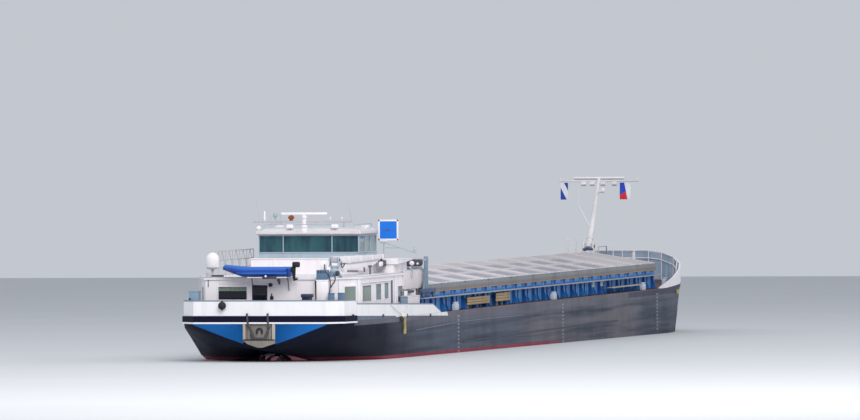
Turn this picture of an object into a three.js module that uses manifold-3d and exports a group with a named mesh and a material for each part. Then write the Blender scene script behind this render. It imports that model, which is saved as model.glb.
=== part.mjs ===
import * as THREE from 'three';
import { mergeVertices } from 'three/addons/utils/BufferGeometryUtils.js';
import Module from 'manifold-3d';

const wasm = await Module();
wasm.setup();

// A river cargo barge, made as a 1:10 scale model. Every length below is in metres of the real
// barge: s is the distance forward of the transom, y is to port, z is up from the flat bottom.
// The last group turns them into millimetres of the model, with its origin amidships.
const modelScale = 100;
const gap = 0.004;

const length = 86;
const deckZ = 3.2;
const sheerStart = 75.5;
const stemDeckZ = 3.5;
const sheer = (s) => deckZ + (stemDeckZ - deckZ) * Math.max(0, (s - sheerStart) / (length - sheerStart));

const hold = { s: [16.6, 75.0], halfWidth: 3.95, floorZ: 0.5 };
const coaming = { s: [16.2, 75.4], halfWidth: 4.05, wall: 0.1 };
const cover = { count: 11, firstS: 16.12, pitch: 5.4, gap: 0.05, halfWidth: 4.15, edgeZ: 4.65,
  ridgeZ: 5.34, skirtZ: 4.22, skirt: 0.06, plate: 0.075 };
const coverInside = { half: cover.halfWidth - cover.skirt, edgeZ: cover.edgeZ - cover.plate,
  ridgeZ: cover.ridgeZ - cover.plate };
const rail = { z: 4.0, halfWidth: 4.5, thick: 0.06 };
const house = { aftS: 1.9, cornerS: 4.2, foreS: 16.0, halfWidth: 4.1, aftHalf: 3.27, roofZ: 5.34, wall: 0.12,
  roof: 0.1 };
const tier = { s: [9.5, 14.2], halfWidth: 2.9, topZ: 6.17 };
const wing = { s: [12.75, 15.8], halfWidth: 3.95, aftZ: [5.79, 6.1], foreZ: [5.94, 5.99] };
const wingWall = { s: [12.85, 15.7], halfWidth: 3.7, topZ: 5.9 };
const bridge = { s: [10, 13.8], halfWidth: 2.6, sillZ: 6.44, headZ: 7.24, topZ: 7.33, wall: 0.08 };
const bridgeRoof = { s: [9.7, 14.1], halfWidth: 2.75, edge: 0.15, crownZ: 7.68, inset: 0.5 };
const bridgeDoor = { s: [11.6, 12.5], z: [5.42, 7.18], thick: 0.06 };
const mastFoot = { s: 76.3, z: 5.6, lean: 37, clear: 0.24 };
const mast = { length: 4.82, yardZ: 4.7, yardHalf: 2.37 };
const carCrane = { s: 2.5, y: -3.2, pivotZ: 6.19, reach: 9.8 };
const board = { s: 13.25, y: [-3.87, -2.82], z: [6.99, 8.04] };
const gantry = { s: 17.2, bogie: [16.15, 18.95], y: 4.36, beamZ: 6.02 };
const screw = { s: 3.7, z: 0.75, radius: 0.58, nozzle: [0.66, 0.74] };
const rudder = { s: 2.35, y: 0.5, z: [0.15, 1.42] };

const paints = {
  hullPaint: { color: 0x505868, roughness: 0.6, metalness: 0.2 },
  navy: { color: 0x0f0f2d, roughness: 0.5, metalness: 0.2 },
  white: { color: 0xe6e8ea, roughness: 0.5, metalness: 0.1 },
  coamingBlue: { color: 0x1a5c96, roughness: 0.55, metalness: 0.2 },
  coverGrey: { color: 0xbebec6, roughness: 0.5, metalness: 0.4 },
  craneGrey: { color: 0x8aa0af, roughness: 0.5, metalness: 0.3 },
  black: { color: 0x16181a, roughness: 0.7, metalness: 0.1 },
  steel: { color: 0x7c8288, roughness: 0.5, metalness: 0.7 },
  bronze: { color: 0x9a7a44, roughness: 0.4, metalness: 0.8 },
  boatBlue: { color: 0x2f66d0, roughness: 0.4, metalness: 0.0 },
  signBlue: { color: 0x0a74e8, roughness: 0.4, metalness: 0.0 },
  glass: { color: 0x26333a, roughness: 0.1, metalness: 0.0 },
  wood: { color: 0x8a6a48, roughness: 0.6, metalness: 0.0 },
  cloth: { color: 0x2a4a9a, roughness: 0.9, metalness: 0.0 },
};

// Turns a closed three.js geometry into a solid that can be joined and cut.
function solid(geometry) {
  const bare = geometry.clone();
  for (const name of ['normal', 'uv']) {
    if (bare.getAttribute(name)) bare.deleteAttribute(name);
  }
  const merged = mergeVertices(bare, 1e-5);
  const corners = [];
  const index = merged.index.array;
  for (let i = 0; i < index.length; i += 3) {
    const [a, b, c] = [index[i], index[i + 1], index[i + 2]];
    if (a !== b && b !== c && c !== a) corners.push(a, b, c);
  }
  const shape = new wasm.Manifold(new wasm.Mesh({
    numProp: 3,
    vertProperties: new Float32Array(merged.getAttribute('position').array),
    triVerts: new Uint32Array(corners),
  }));
  return shape;
}

function box([s0, s1], [y0, y1], [z0, z1]) {
  const shape = new THREE.BoxGeometry(s1 - s0, y1 - y0, z1 - z0);
  shape.translate((s0 + s1) / 2, (y0 + y1) / 2, (z0 + z1) / 2);
  return solid(shape);
}

const outline = (points) => new THREE.Shape(points.map(([u, v]) => new THREE.Vector2(u, v)));

// A plan outline in (s, y), raised from z0 to z1.
function upright(points, z0, z1) {
  const shape = new THREE.ExtrudeGeometry(outline(points), { depth: z1 - z0, bevelEnabled: false });
  return solid(shape.translate(0, 0, z0));
}

// A cross section in (y, z), run from s0 to s1.
function alongShip(points, s0, s1) {
  const shape = new THREE.ExtrudeGeometry(outline(points), { depth: s1 - s0, bevelEnabled: false });
  shape.applyMatrix4(new THREE.Matrix4().makeBasis(
    new THREE.Vector3(0, 1, 0), new THREE.Vector3(0, 0, 1), new THREE.Vector3(1, 0, 0)));
  return solid(shape.translate(s0, 0, 0));
}

// A side view in (s, z), run from y0 to y1.
function acrossShip(points, y0, y1) {
  const shape = new THREE.ExtrudeGeometry(outline(points), { depth: y1 - y0, bevelEnabled: false });
  shape.rotateX(Math.PI / 2);
  return solid(shape.translate(0, y1, 0));
}

// A round bar between two points, tapering where a second radius is given.
function rod(from, to, radius, sides = 8, endRadius = radius) {
  const start = new THREE.Vector3(...from);
  const run = new THREE.Vector3(...to).sub(start);
  const shape = new THREE.CylinderGeometry(endRadius, radius, run.length(), sides);
  shape.translate(0, run.length() / 2, 0);
  shape.applyQuaternion(new THREE.Quaternion().setFromUnitVectors(
    new THREE.Vector3(0, 1, 0), run.normalize()));
  return solid(shape.translate(...from));
}

// A turned shape about an upright axis, from (radius, height) points.
function turned(points, [s, y, z], sides = 12) {
  const shape = new THREE.LatheGeometry(points.map(([r, h]) => new THREE.Vector2(r, h)), sides);
  shape.rotateX(Math.PI / 2);
  return solid(shape.translate(s, y, z));
}

const join = (...shapes) => shapes.reduce((whole, shape) => whole.add(shape));
const mirrored = (points) => [...points, ...points.map(([u, v]) => [u, -v]).reverse()];
const bothSides = (make) => join(make(1), make(-1));

const ship = new THREE.Group();

function addPart(name, shape, paint, group = ship) {
  const { numProp, vertProperties, triVerts } = shape.getMesh();
  const places = new Float32Array((vertProperties.length / numProp) * 3);
  for (let i = 0; i < places.length / 3; i += 1) {
    for (let axis = 0; axis < 3; axis += 1) places[i * 3 + axis] = vertProperties[i * numProp + axis];
  }
  const geometry = new THREE.BufferGeometry();
  geometry.setAttribute('position', new THREE.BufferAttribute(places, 3));
  geometry.setIndex([...triVerts]);
  const mesh = new THREE.Mesh(geometry, new THREE.MeshStandardMaterial(paints[paint]));
  mesh.name = name;
  group.add(mesh);
  return mesh;
}

// Hull sections: s, half-width at deck, chine half-width and z, floor half-width and z, keel z.
const hullSections = [
  [0.0, 3.4, 3.4, 3.04, 1.7, 2.4, 1.82],
  [0.8, 4.1, 4.05, 2.88, 1.9, 2.0, 1.74],
  [3.0, 4.45, 4.3, 2.3, 2.2, 1.2, 1.64],
  [4.5, 4.55, 4.45, 1.85, 2.6, 0.85, 1.5],
  [6.0, 4.65, 4.6, 1.4, 3.1, 0.55, 0.98],
  [9.0, 4.75, 4.72, 0.7, 4.0, 0.12, 0.25],
  [12.0, 4.75, 4.75, 0.45, 4.3, 0, 0],
  [sheerStart, 4.75, 4.75, 0.45, 4.3, 0, 0],
  [77.0, 4.75, 4.68, 0.5, 4.15, 0, 0],
  [80.0, 4.6, 4.3, 0.55, 3.5, 0, 0],
  [82.0, 4.25, 3.6, 0.7, 2.5, 0.03, 0],
  [83.5, 3.72, 2.6, 1.0, 1.1, 0.4, 0.32],
  [85.0, 2.7, 1.5, 1.9, 0.5, 1.45, 1.35],
  [length, 1.2, 0.7, 3.0, 0.25, 2.8, 2.7],
];

function loftedHull() {
  const rings = hullSections.map(([s, deck, chine, chineZ, floor, floorZ, keelZ]) => [
    [s, 0, keelZ], [s, floor, floorZ], [s, chine, chineZ], [s, deck, sheer(s)],
    [s, -deck, sheer(s)], [s, -chine, chineZ], [s, -floor, floorZ],
  ]);
  const count = rings[0].length;
  const index = [];
  for (let k = 0; k < rings.length - 1; k += 1) {
    for (let i = 0; i < count; i += 1) {
      const [a, b] = [k * count + i, k * count + (i + 1) % count];
      index.push(a, b, a + count, b, b + count, a + count);
    }
  }
  const last = (rings.length - 1) * count;
  for (let i = 1; i < count - 1; i += 1) {
    index.push(0, i + 1, i);
    index.push(last, last + i, last + i + 1);
  }
  const shape = new THREE.BufferGeometry();
  shape.setAttribute('position', new THREE.BufferAttribute(new Float32Array(rings.flat(2)), 3));
  shape.setIndex(index);
  return solid(shape);
}

// The deck edge in plan, from station s0 to s1, on the port side, moved inboard.
function deckEdge(s0, s1, inboard) {
  const at = (s) => {
    const k = Math.max(1, hullSections.findIndex((row) => row[0] >= s));
    const [a, b] = [hullSections[k - 1], hullSections[k]];
    return a[1] + ((b[1] - a[1]) * (s - a[0])) / (b[0] - a[0]);
  };
  const inside = hullSections.map((row) => row[0]).filter((s) => s > s0 && s < s1);
  return [s0, ...inside, s1].map((s) => [s, at(s) - inboard]);
}

const bollardStations = [[22.9, 4.56], [46.3, 4.56], [69.8, 4.56], [78.6, 4.0], [4.6, 4.27]];
const anchorPocket = { s: 0.32, y: [-0.75, 0.84], z: [1.6, 3.12] };
const bowPocket = { s: [80.4, 82.0], y: 3.7, z: [1.9, 3.1] };

function bollard(s, y) {
  const z = sheer(s) - 0.03;
  const base = box([s - 0.35, s + 0.35], [y - 0.1, y + 0.1], [z - 0.05, z + 0.36]);
  const posts = [-0.19, 0.19].map((ds) => rod([s + ds, y, z], [s + ds, y, z + 0.44], 0.1));
  return join(base, ...posts);
}

function makeHull() {
  let hull = loftedHull();
  hull = hull.subtract(box(hold.s, [-hold.halfWidth, hold.halfWidth], [hold.floorZ, deckZ + 1]));
  hull = hull.subtract(box([6.2, 13.5], [-2.6, 2.6], [1.1, deckZ + 1]));
  hull = hull.subtract(box([-1, anchorPocket.s], anchorPocket.y, anchorPocket.z));
  const nozzle = rod([screw.s - 0.42, 0, screw.z], [screw.s + 0.42, 0, screw.z], screw.nozzle[1], 16)
    .subtract(rod([screw.s - 0.5, 0, screw.z], [screw.s + 0.5, 0, screw.z], screw.nozzle[0], 16));
  const headBox = box([screw.s - 0.3, screw.s + 0.3], [-0.12, 0.12], [screw.z + 0.69, 1.75]);
  const shaft = rod([screw.s + 0.3, 0, screw.z], [7.8, 0, screw.z], 0.09);
  const boss = (y) => rod([rudder.s, y, 1.5], [rudder.s, y, 1.9], 0.14);
  const bosses = bothSides((side) => boss(side * rudder.y));
  const pockets = bothSides((side) => box(bowPocket.s,
    [Math.min(side * bowPocket.y, side * 5), Math.max(side * bowPocket.y, side * 5)], bowPocket.z));
  const bollards = bothSides((side) => join(...bollardStations.map(([s, y]) => bollard(s, side * y))));
  return join(hull.subtract(pockets), nozzle, headBox, shaft, bosses, bollards);
}
addPart('hull', makeHull(), 'hullPaint');

// White plating round the stern, its top stepping down and running out at the coaming.
const sternBulwark = { foreS: 18.85, thick: 0.1 };
const sternPlan = mirrored(deckEdge(0, sternBulwark.foreS, 0));
const sternInner = mirrored(deckEdge(sternBulwark.thick, sternBulwark.foreS + 1, sternBulwark.thick));
const sternProfile = [[-1, deckZ + gap], [sternBulwark.foreS, deckZ + gap], [17.1, 3.64], [4.0, 3.955],
  [2.45, 3.99], [2.2, 4.18], [-1, 4.21]];
addPart('bulwark_stern', upright(sternPlan, deckZ, 4.5).subtract(upright(sternInner, deckZ - 1, 5))
  .intersect(acrossShip(sternProfile, -5, 5)), 'white');

const rubBand = { foreS: 2.15, thick: 0.05, z: [3.1, 3.46] };
const bandOuter = mirrored([[-rubBand.thick, 3.4], [0.75, 4.16], [rubBand.foreS, 4.42]]);
const bandInner = mirrored([[-gap, 3.4 + gap], [0.8 - gap, 4.1 + gap], [3.0, 4.45 + gap]]);
addPart('rub_band_stern', upright(bandOuter, ...rubBand.z).subtract(upright(bandInner, 0, 5)), 'navy');

// White plating round the bow, from nothing at the shoulder to its full height at the stem.
const bowBulwark = { aftS: 73.6, thick: 0.1, bend: [78, 3.8], stemZ: 5.19 };
const bowTop = (s) => bowBulwark.bend[1]
  + ((bowBulwark.stemZ - bowBulwark.bend[1]) * (s - bowBulwark.bend[0])) / (length - bowBulwark.bend[0]);
const bowOuter = mirrored(deckEdge(bowBulwark.aftS, length, 0));
const bowInner = mirrored(deckEdge(bowBulwark.aftS - 0.1, length - bowBulwark.thick, bowBulwark.thick));
const bowProfile = [[bowBulwark.aftS, deckZ + gap], [sheerStart, deckZ + gap],
  [length + 1, sheer(length + 1) + gap], [length + 1, bowTop(length + 1)], bowBulwark.bend,
  [bowBulwark.aftS, deckZ + 0.05]];
addPart('bulwark_bow', upright(bowOuter, 3, 6).subtract(upright(bowInner, 2, 7))
  .intersect(acrossShip(bowProfile, -5, 5)), 'white');

// Coaming round the hold: walls, gabled ends, stays on the side deck and the crane's rail.
const stays = { count: 25, pitch: 2.4, firstS: 16.9, thick: 0.05 };
function makeCoaming() {
  const [aft, fore] = coaming.s;
  const half = coaming.halfWidth;
  const inner = half - coaming.wall;
  const between = [aft + coaming.wall, fore - coaming.wall];
  const gableRise = coverInside.ridgeZ - coverInside.edgeZ;
  const topZ = coverInside.edgeZ + gableRise * (1 - half / coverInside.half) - gap;
  const gable = [[-half, deckZ + gap], [half, deckZ + gap], [half, topZ], [0, coverInside.ridgeZ - gap],
    [-half, topZ]];
  const walls = alongShip(gable, aft, fore).subtract(box(between, [-inner, inner], [0, 9]))
    .subtract(box(between, [-9, 9], [topZ - gap, 9]));
  const ledges = bothSides((side) => box([aft, fore],
    side > 0 ? [half - 0.02, rail.halfWidth] : [-rail.halfWidth, 0.02 - half],
    [rail.z - rail.thick, rail.z]));
  const stay = [[half - 0.02, deckZ + gap], [half + 0.32, deckZ + gap], [half + 0.12, 3.7],
    [half + 0.12, rail.z - 0.02], [half - 0.02, rail.z - 0.02]];
  const all = [];
  for (let i = 0; i < stays.count; i += 1) {
    const s = stays.firstS + i * stays.pitch;
    all.push(bothSides((side) => alongShip(side > 0 ? stay : stay.map(([y, z]) => [-y, z]).reverse(),
      s, s + stays.thick)));
  }
  return join(walls, ledges, ...all);
}
addPart('hold_coaming', makeCoaming(), 'coamingBlue');

// Gabled hatch covers whose skirts hang outside the coaming.
const coverSection = [[-cover.halfWidth, cover.skirtZ], [-cover.halfWidth, cover.edgeZ], [0, cover.ridgeZ],
  [cover.halfWidth, cover.edgeZ], [cover.halfWidth, cover.skirtZ], [coverInside.half, cover.skirtZ],
  [coverInside.half, coverInside.edgeZ], [0, coverInside.ridgeZ], [-coverInside.half, coverInside.edgeZ],
  [-coverInside.half, cover.skirtZ]];
for (let i = 0; i < cover.count; i += 1) {
  const s = cover.firstS + i * cover.pitch;
  addPart(`hatch_cover_${String(i + 1).padStart(2, '0')}`,
    alongShip([...coverSection].reverse(), s, s + cover.pitch - cover.gap), 'coverGrey');
}

// Hatch crane: a gantry whose bogies roll on the coaming's rail.
function makeGantry() {
  const bogieZ = rail.z + 0.2;
  const parts = [];
  for (const side of [1, -1]) {
    const y = side * gantry.y;
    parts.push(box(gantry.bogie, [y - 0.09, y + 0.09], [bogieZ, bogieZ + 0.24]));
    for (const s of [gantry.bogie[0] + 0.3, gantry.bogie[1] - 0.3]) {
      parts.push(rod([s, y - 0.05, rail.z + 0.15 + gap], [s, y + 0.05, rail.z + 0.15 + gap], 0.15, 12));
    }
    for (const ds of [-0.15, 0.15]) {
      parts.push(box([gantry.s + ds - 0.07, gantry.s + ds + 0.07], [y - 0.07, y + 0.07],
        [bogieZ + 0.1, gantry.beamZ + 0.12]));
    }
  }
  parts.push(box([gantry.s - 0.25, gantry.s + 0.25], [-gantry.y - 0.07, gantry.y + 0.07],
    [gantry.beamZ - 0.11, gantry.beamZ + 0.12]));
  return join(...parts);
}
addPart('hatch_crane', makeGantry(), 'craneGrey');
addPart('hatch_crane_drive', join(
  box([gantry.s - 0.7, gantry.s - 0.25 - gap], [-4.0, -2.9], [5.5, 6.05]),
  rod([gantry.s - 0.5, -4.2, 5.78], [gantry.s - 0.5, -2.7, 5.78], 0.24, 12)), 'black');

// Aft house: walls and roof over the engine room, its windows and door cut.
const housePlan = (grow) => mirrored([[house.aftS - grow, house.aftHalf + grow * 0.6],
  [house.cornerS, house.halfWidth + grow], [house.foreS + grow, house.halfWidth + grow]]);
const sideWindows = [[4.62, 6.3, 4.08], [7.48, 8.41, 4.1], [9.26, 9.98, 4.12], [12.13, 12.99, 3.9]];
const cornerWindow = [2.97, 3.77, 4.08];
const windowHeight = 0.78;
const aftWindow = { y: [1.15, 2.6], z: [4.25, 4.88] };
const aftDoor = { y: [0.1, 0.88], z: [3.24, 4.95], thick: 0.06 };
function makeHouse() {
  const inside = mirrored([[house.aftS + house.wall, house.aftHalf - 0.1],
    [house.cornerS + house.wall / 4, house.halfWidth - house.wall],
    [house.foreS - house.wall, house.halfWidth - house.wall]]);
  let walls = upright(housePlan(0), deckZ + gap, house.roofZ - 0.02)
    .add(upright(housePlan(0.08), house.roofZ - house.roof, house.roofZ));
  walls = walls.subtract(upright(inside, 0, house.roofZ - house.roof));
  walls = walls.subtract(box([1, 2.5], aftWindow.y, aftWindow.z));
  walls = walls.subtract(box([1, 2.5], [aftDoor.y[0] - 0.02, aftDoor.y[1] + gap],
    [deckZ, aftDoor.z[1] + 0.02]));
  for (const [s0, s1, sillZ] of [...sideWindows, cornerWindow]) {
    walls = walls.subtract(box([s0, s1], [-6, -3.2], [sillZ, sillZ + windowHeight]));
    walls = walls.subtract(box([s0, s1], [3.2, 6], [sillZ, sillZ + windowHeight]));
  }
  return walls;
}
addPart('aft_house', makeHouse(), 'white');
const aftDoorS = house.aftS + 0.02;
addPart('aft_house_door', box([aftDoorS, aftDoorS + aftDoor.thick], aftDoor.y, aftDoor.z), 'white');

// The wheelhouse stands on a raised tier with tapering wings; both share one room, open down to
// the house roof.
const room = { s: [10.1, 13.7], halfWidth: 2.45 };
function makeTier() {
  const block = join(
    box(tier.s, [-tier.halfWidth, tier.halfWidth], [house.roofZ + gap, tier.topZ]),
    box(wingWall.s, [-wingWall.halfWidth, wingWall.halfWidth], [house.roofZ + gap, wingWall.topZ]),
    acrossShip([[wing.s[0], wing.aftZ[0]], [wing.s[1], wing.foreZ[0]], [wing.s[1], wing.foreZ[1]],
      [wing.s[0], wing.aftZ[1]]], -wing.halfWidth, wing.halfWidth));
  return block.subtract(box(room.s, [-room.halfWidth, room.halfWidth], [5, 7]))
    .subtract(box([bridgeDoor.s[0] - 0.05, bridgeDoor.s[1] + 0.1], [room.halfWidth - 0.5, 3.5], [5, 7]));
}
addPart('wheelhouse_base', makeTier(), 'white');

function makeBridge() {
  const [aft, fore] = bridge.s;
  const half = bridge.halfWidth;
  const wall = bridge.wall;
  let walls = box(bridge.s, [-half, half], [tier.topZ + gap, bridge.topZ])
    .subtract(box([aft + wall, fore - wall], [wall - half, half - wall], [6, 8]));
  const panes = { aft: [[-2.43, -1.25], [-1.17, 1.29], [1.37, 2.43]],
    fore: [[-2.43, -1.55], [-1.45, -0.55], [-0.45, 0.45], [0.55, 1.45], [1.55, 2.43]],
    side: [[10.12, 11.4], [12.6, 13.68]] };
  const openZ = [bridge.sillZ, bridge.headZ];
  for (const y of panes.aft) walls = walls.subtract(box([aft - 1, aft + 0.5], y, openZ));
  for (const y of panes.fore) walls = walls.subtract(box([fore - 0.5, fore + 1], y, openZ));
  for (const s of panes.side) walls = walls.subtract(box(s, [-3, 3], openZ));
  return walls.subtract(box([bridgeDoor.s[0] - 0.02, bridgeDoor.s[1] + gap], [half - 0.5, 3],
    [6, bridgeDoor.z[1] + 0.02])).subtract(box([11.5, 12.5], [-3, -2], openZ));
}
addPart('wheelhouse', makeBridge(), 'white');

const paneRing = { inset: bridge.wall + gap, thick: 0.03 };
const ringBox = (inset) => [[bridge.s[0] + inset, bridge.s[1] - inset],
  [inset - bridge.halfWidth, bridge.halfWidth - inset]];
addPart('wheelhouse_glass', box(...ringBox(paneRing.inset), [bridge.sillZ - 0.05, bridge.headZ + 0.03])
  .subtract(box(...ringBox(paneRing.inset + paneRing.thick), [6, 8]))
  .subtract(box([bridgeDoor.s[0] - 0.05, bridgeDoor.s[1] + 0.05], [2, 3], [6, 8])), 'glass');

function makeBridgeRoof() {
  const [aft, fore] = bridgeRoof.s;
  const half = bridgeRoof.halfWidth;
  const low = bridge.topZ + gap;
  const inset = bridgeRoof.inset;
  const edgeZ = low + bridgeRoof.edge;
  const section = (u0, u1) => [[u0, low], [u1, low], [u1, edgeZ], [u1 - inset, bridgeRoof.crownZ],
    [u0 + inset, bridgeRoof.crownZ], [u0, edgeZ]];
  return acrossShip(section(aft, fore), -half, half).intersect(alongShip(section(-half, half), aft, fore));
}
addPart('wheelhouse_roof', makeBridgeRoof(), 'white');

const doorY = bridge.halfWidth - 0.02;
addPart('wheelhouse_door', box(bridgeDoor.s, [doorY - bridgeDoor.thick, doorY], bridgeDoor.z)
  .subtract(box([bridgeDoor.s[0] + 0.12, bridgeDoor.s[1] - 0.12], [2, 3], [bridge.sillZ, 7.08])), 'white');

const floorZ = house.roofZ + gap;
addPart('helm_console', join(
  box([12.75, 13.5], [-1.3, 1.3], [floorZ, 6.3]),
  acrossShip([[12.75, 6.2], [13.5, 6.2], [13.5, 6.5]], -1.3, 1.3)), 'wood');
addPart('helm_seat', join(
  rod([12.0, 0, floorZ], [12.0, 0, 5.9], 0.12),
  box([11.7, 12.25], [-0.3, 0.3], [5.85, 6.0]),
  box([11.68, 11.8], [-0.28, 0.28], [5.95, 6.65])), 'black');
addPart('engine_block', box([8.2, 12.0], [-0.75, 0.75], [1.1 + gap, 2.9]), 'steel');

// Antenna yard and turning scanner on the wheelhouse roof.
const roofTop = bridgeRoof.crownZ + gap;
const aerial = { s: 10.9, y: 0.46, half: 2.5, z: [7.96, 8.04], headZ: 8.27 };
const yardRod = (y, z0, z1, radius, sides = 8) => rod([aerial.s, y, z0], [aerial.s, y, z1], radius, sides);
addPart('antenna_yard', join(
  yardRod(aerial.y, roofTop, aerial.headZ, 0.13, 10),
  box([aerial.s - 0.05, aerial.s + 0.05], [aerial.y - aerial.half, aerial.y + aerial.half], aerial.z),
  yardRod(-1.6, roofTop, 8.0, 0.04, 6),
  yardRod(2.15, roofTop, 8.0, 0.04, 6),
  turned([[0, 0], [0.1, 0], [0.1, 0.1], [0.13, 0.16], [0.1, 0.26], [0, 0.3]], [aerial.s, 1.15, 7.98], 10),
  turned([[0, 0], [0.07, 0], [0.2, 0.16], [0.2, 0.3], [0.1, 0.42], [0, 0.44]], [aerial.s, 1.97, 7.98], 12),
  yardRod(2.48, 7.98, 8.36, 0.06),
  yardRod(aerial.y - aerial.half + 0.1, 8.0, 9.2, 0.02, 6),
  yardRod(aerial.y + aerial.half - 0.1, 8.0, 9.2, 0.02, 6)), 'white');
addPart('radar_scanner_aft', join(
  yardRod(aerial.y, aerial.headZ + gap, 8.36, 0.09, 10),
  box([aerial.s - 0.09, aerial.s + 0.09], [aerial.y - 1.2, aerial.y + 1.2], [8.33, 8.46])), 'white');

// Blue signal board beside the wheelhouse, hinged on its post, with a lamp on an arm.
const signalPost = { y: -3.11, hingeZ: 6.96, hinge: 0.035, half: 0.2, thick: 0.045, lampY: -4.72 };
const wingTopZ = wing.aftZ[1] - ((wing.aftZ[1] - wing.foreZ[1]) * (board.s - signalPost.thick - wing.s[0]))
  / (wing.s[1] - wing.s[0]);
addPart('signal_post', join(
  rod([board.s, signalPost.y, wingTopZ + gap], [board.s, signalPost.y, 6.88], signalPost.thick),
  box([board.s - 0.05, board.s + 0.05], [signalPost.y - signalPost.half, signalPost.y + signalPost.half],
    [6.84, signalPost.hingeZ - signalPost.hinge - gap]),
  rod([board.s, signalPost.y, 6.62], [board.s, -3.97, 6.6], 0.025, 6),
  rod([board.s, signalPost.y - 0.1, 6.87], [board.s, signalPost.lampY, 6.36], 0.03, 6),
  box([board.s - 0.07, board.s + 0.07], [signalPost.lampY - 0.07, signalPost.lampY + 0.07],
    [6.34, 6.68])), 'white');
addPart('blue_signal_board', join(
  box([board.s - 0.03, board.s + 0.03], board.y, board.z),
  rod([board.s, signalPost.y - signalPost.half, signalPost.hingeZ],
    [board.s, signalPost.y + signalPost.half, signalPost.hingeZ], signalPost.hinge, 8)), 'signBlue');

// Dish cover on its pedestal at the port side of the aft roof.
const dome = { s: 2.9, y: 3.16, radius: 0.325 };
addPart('dish_dome', turned([[0, 0], [0.2, 0], [0.2, 0.04], [0.07, 0.08], [0.07, 0.5], [0.26, 0.53],
  [dome.radius, 0.62], [dome.radius, 0.88], [0.26, 1.1], [0.13, 1.21], [0, 1.236]],
[dome.s, dome.y, house.roofZ + gap], 16), 'white');

// Ship's boat athwart the stern on its cradle, with an outboard motor.
const boat = { s: 1.4, y: [-1.27, 2.24], z: [5.44, 5.97], halfWidth: 0.72 };
function makeBoat() {
  const [stern, bow] = boat.y;
  const [low, high] = boat.z;
  const shell = (trim) => {
    const rows = [[stern + trim, 0.62, 0.42, 0], [stern + 1.6, 0.72, 0.5, 0],
      [bow - 0.9, 0.62, 0.36, 0.05], [bow - trim * 2, 0.12, 0.05, 0.22]];
    const rings = rows.map(([y, top, bottom, rise]) => [
      [boat.s - bottom + trim, y, low + rise + trim], [boat.s + bottom - trim, y, low + rise + trim],
      [boat.s + top - trim, y, high + trim], [boat.s - top + trim, y, high + trim]]);
    const index = [0, 1, 2, 0, 2, 3];
    for (let k = 0; k < rings.length - 1; k += 1) {
      for (let i = 0; i < 4; i += 1) {
        const [a, b] = [k * 4 + i, k * 4 + (i + 1) % 4];
        index.push(a, a + 4, b, b, a + 4, b + 4);
      }
    }
    const last = (rings.length - 1) * 4;
    index.push(last, last + 2, last + 1, last, last + 3, last + 2);
    const shape = new THREE.BufferGeometry();
    shape.setAttribute('position', new THREE.BufferAttribute(new Float32Array(rings.flat(2)), 3));
    shape.setIndex(index);
    return solid(shape);
  };
  return shell(0).subtract(shell(0.04));
}
addPart('ship_boat', makeBoat(), 'boatBlue');
addPart('outboard_motor', join(
  box([1.22, 1.58], [-1.7, boat.y[0] - gap], [5.84, 6.14]),
  box([1.3, 1.5], [-1.42, boat.y[0] - gap], [5.6, 5.9]),
  box([1.34, 1.46], [-1.5, -1.32], [5.18, 5.9]),
  box([1.36, 1.44], [-1.62, -1.3], [5.32, 5.37])), 'black');
addPart('boat_cradle', bothSides((side) => {
  const y = -0.15 + side * 0.95;
  return join(box([0.75, 3.0], [y - 0.05, y + 0.05], [house.roofZ + gap, boat.z[0] - gap]),
    box([2.9, 3.0], side > 0 ? [-0.2, y] : [y, -0.1], [house.roofZ + gap, boat.z[0] - gap]));
}), 'white');

// Deck crane: a slewing column with a luffing boom, stowed along the starboard side.
const craneY = (half) => [carCrane.y - half, carCrane.y + half];
const seatTopZ = 5.62;
addPart('deck_crane_seat', join(
  rod([carCrane.s, carCrane.y, house.roofZ + gap], [carCrane.s, carCrane.y, seatTopZ], 0.3, 14),
  box([carCrane.s - 0.4, carCrane.s + 0.4], craneY(0.4), [house.roofZ + gap, house.roofZ + 0.08])),
'craneGrey');
const ear = [[-0.22, 5.84], [0.22, 5.84], [0.14, 6.36], [-0.14, 6.36]].map(([ds, z]) => [carCrane.s + ds, z]);
addPart('deck_crane_column', join(
  rod([carCrane.s, carCrane.y, seatTopZ + gap], [carCrane.s, carCrane.y, 5.88], 0.24, 14),
  acrossShip(ear, carCrane.y - 0.26, carCrane.y - 0.2),
  acrossShip(ear, carCrane.y + 0.2, carCrane.y + 0.26),
  box([carCrane.s - 0.22, carCrane.s + 0.22], craneY(0.26), [5.84, 5.92])), 'white');
const tip = carCrane.s + carCrane.reach;
const boomProfile = [[-0.1, 6.06], [0.7, 5.98], [1.9, 5.5], [4.8, 5.47], [7.6, 5.75], [9.2, 6.075],
  [carCrane.reach, 6.09], [carCrane.reach, 6.29], [0.1, 6.36], [-0.1, 6.32]]
  .map(([ds, z]) => [carCrane.s + ds, z]);
addPart('deck_crane_boom', join(
  acrossShip(boomProfile, ...craneY(0.15)),
  rod([carCrane.s, carCrane.y - 0.2 + gap, carCrane.pivotZ],
    [carCrane.s, carCrane.y + 0.2 - gap, carCrane.pivotZ], 0.06)), 'white');
addPart('deck_crane_hook', join(
  box([tip - 0.36, tip - 0.12], craneY(0.1), [5.8, 6.078 - gap]),
  box([tip - 0.42, tip - 0.06], craneY(0.07), [5.7, 5.84])), 'black');

// Casing with the crane's valves, in front of the aft wall.
const casing = { s: [1.42, house.aftS - 0.08 - gap], y: [-3.14, -2.53] };
addPart('crane_casing', join(
  box(casing.s, casing.y, [deckZ + gap, 5.25]),
  box(casing.s, [casing.y[0] + 0.03, casing.y[1]], [5.2, 5.72]),
  box([1.5, 1.75], [-2.95, -2.63], [5.7, 6.15])), 'white');

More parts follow.
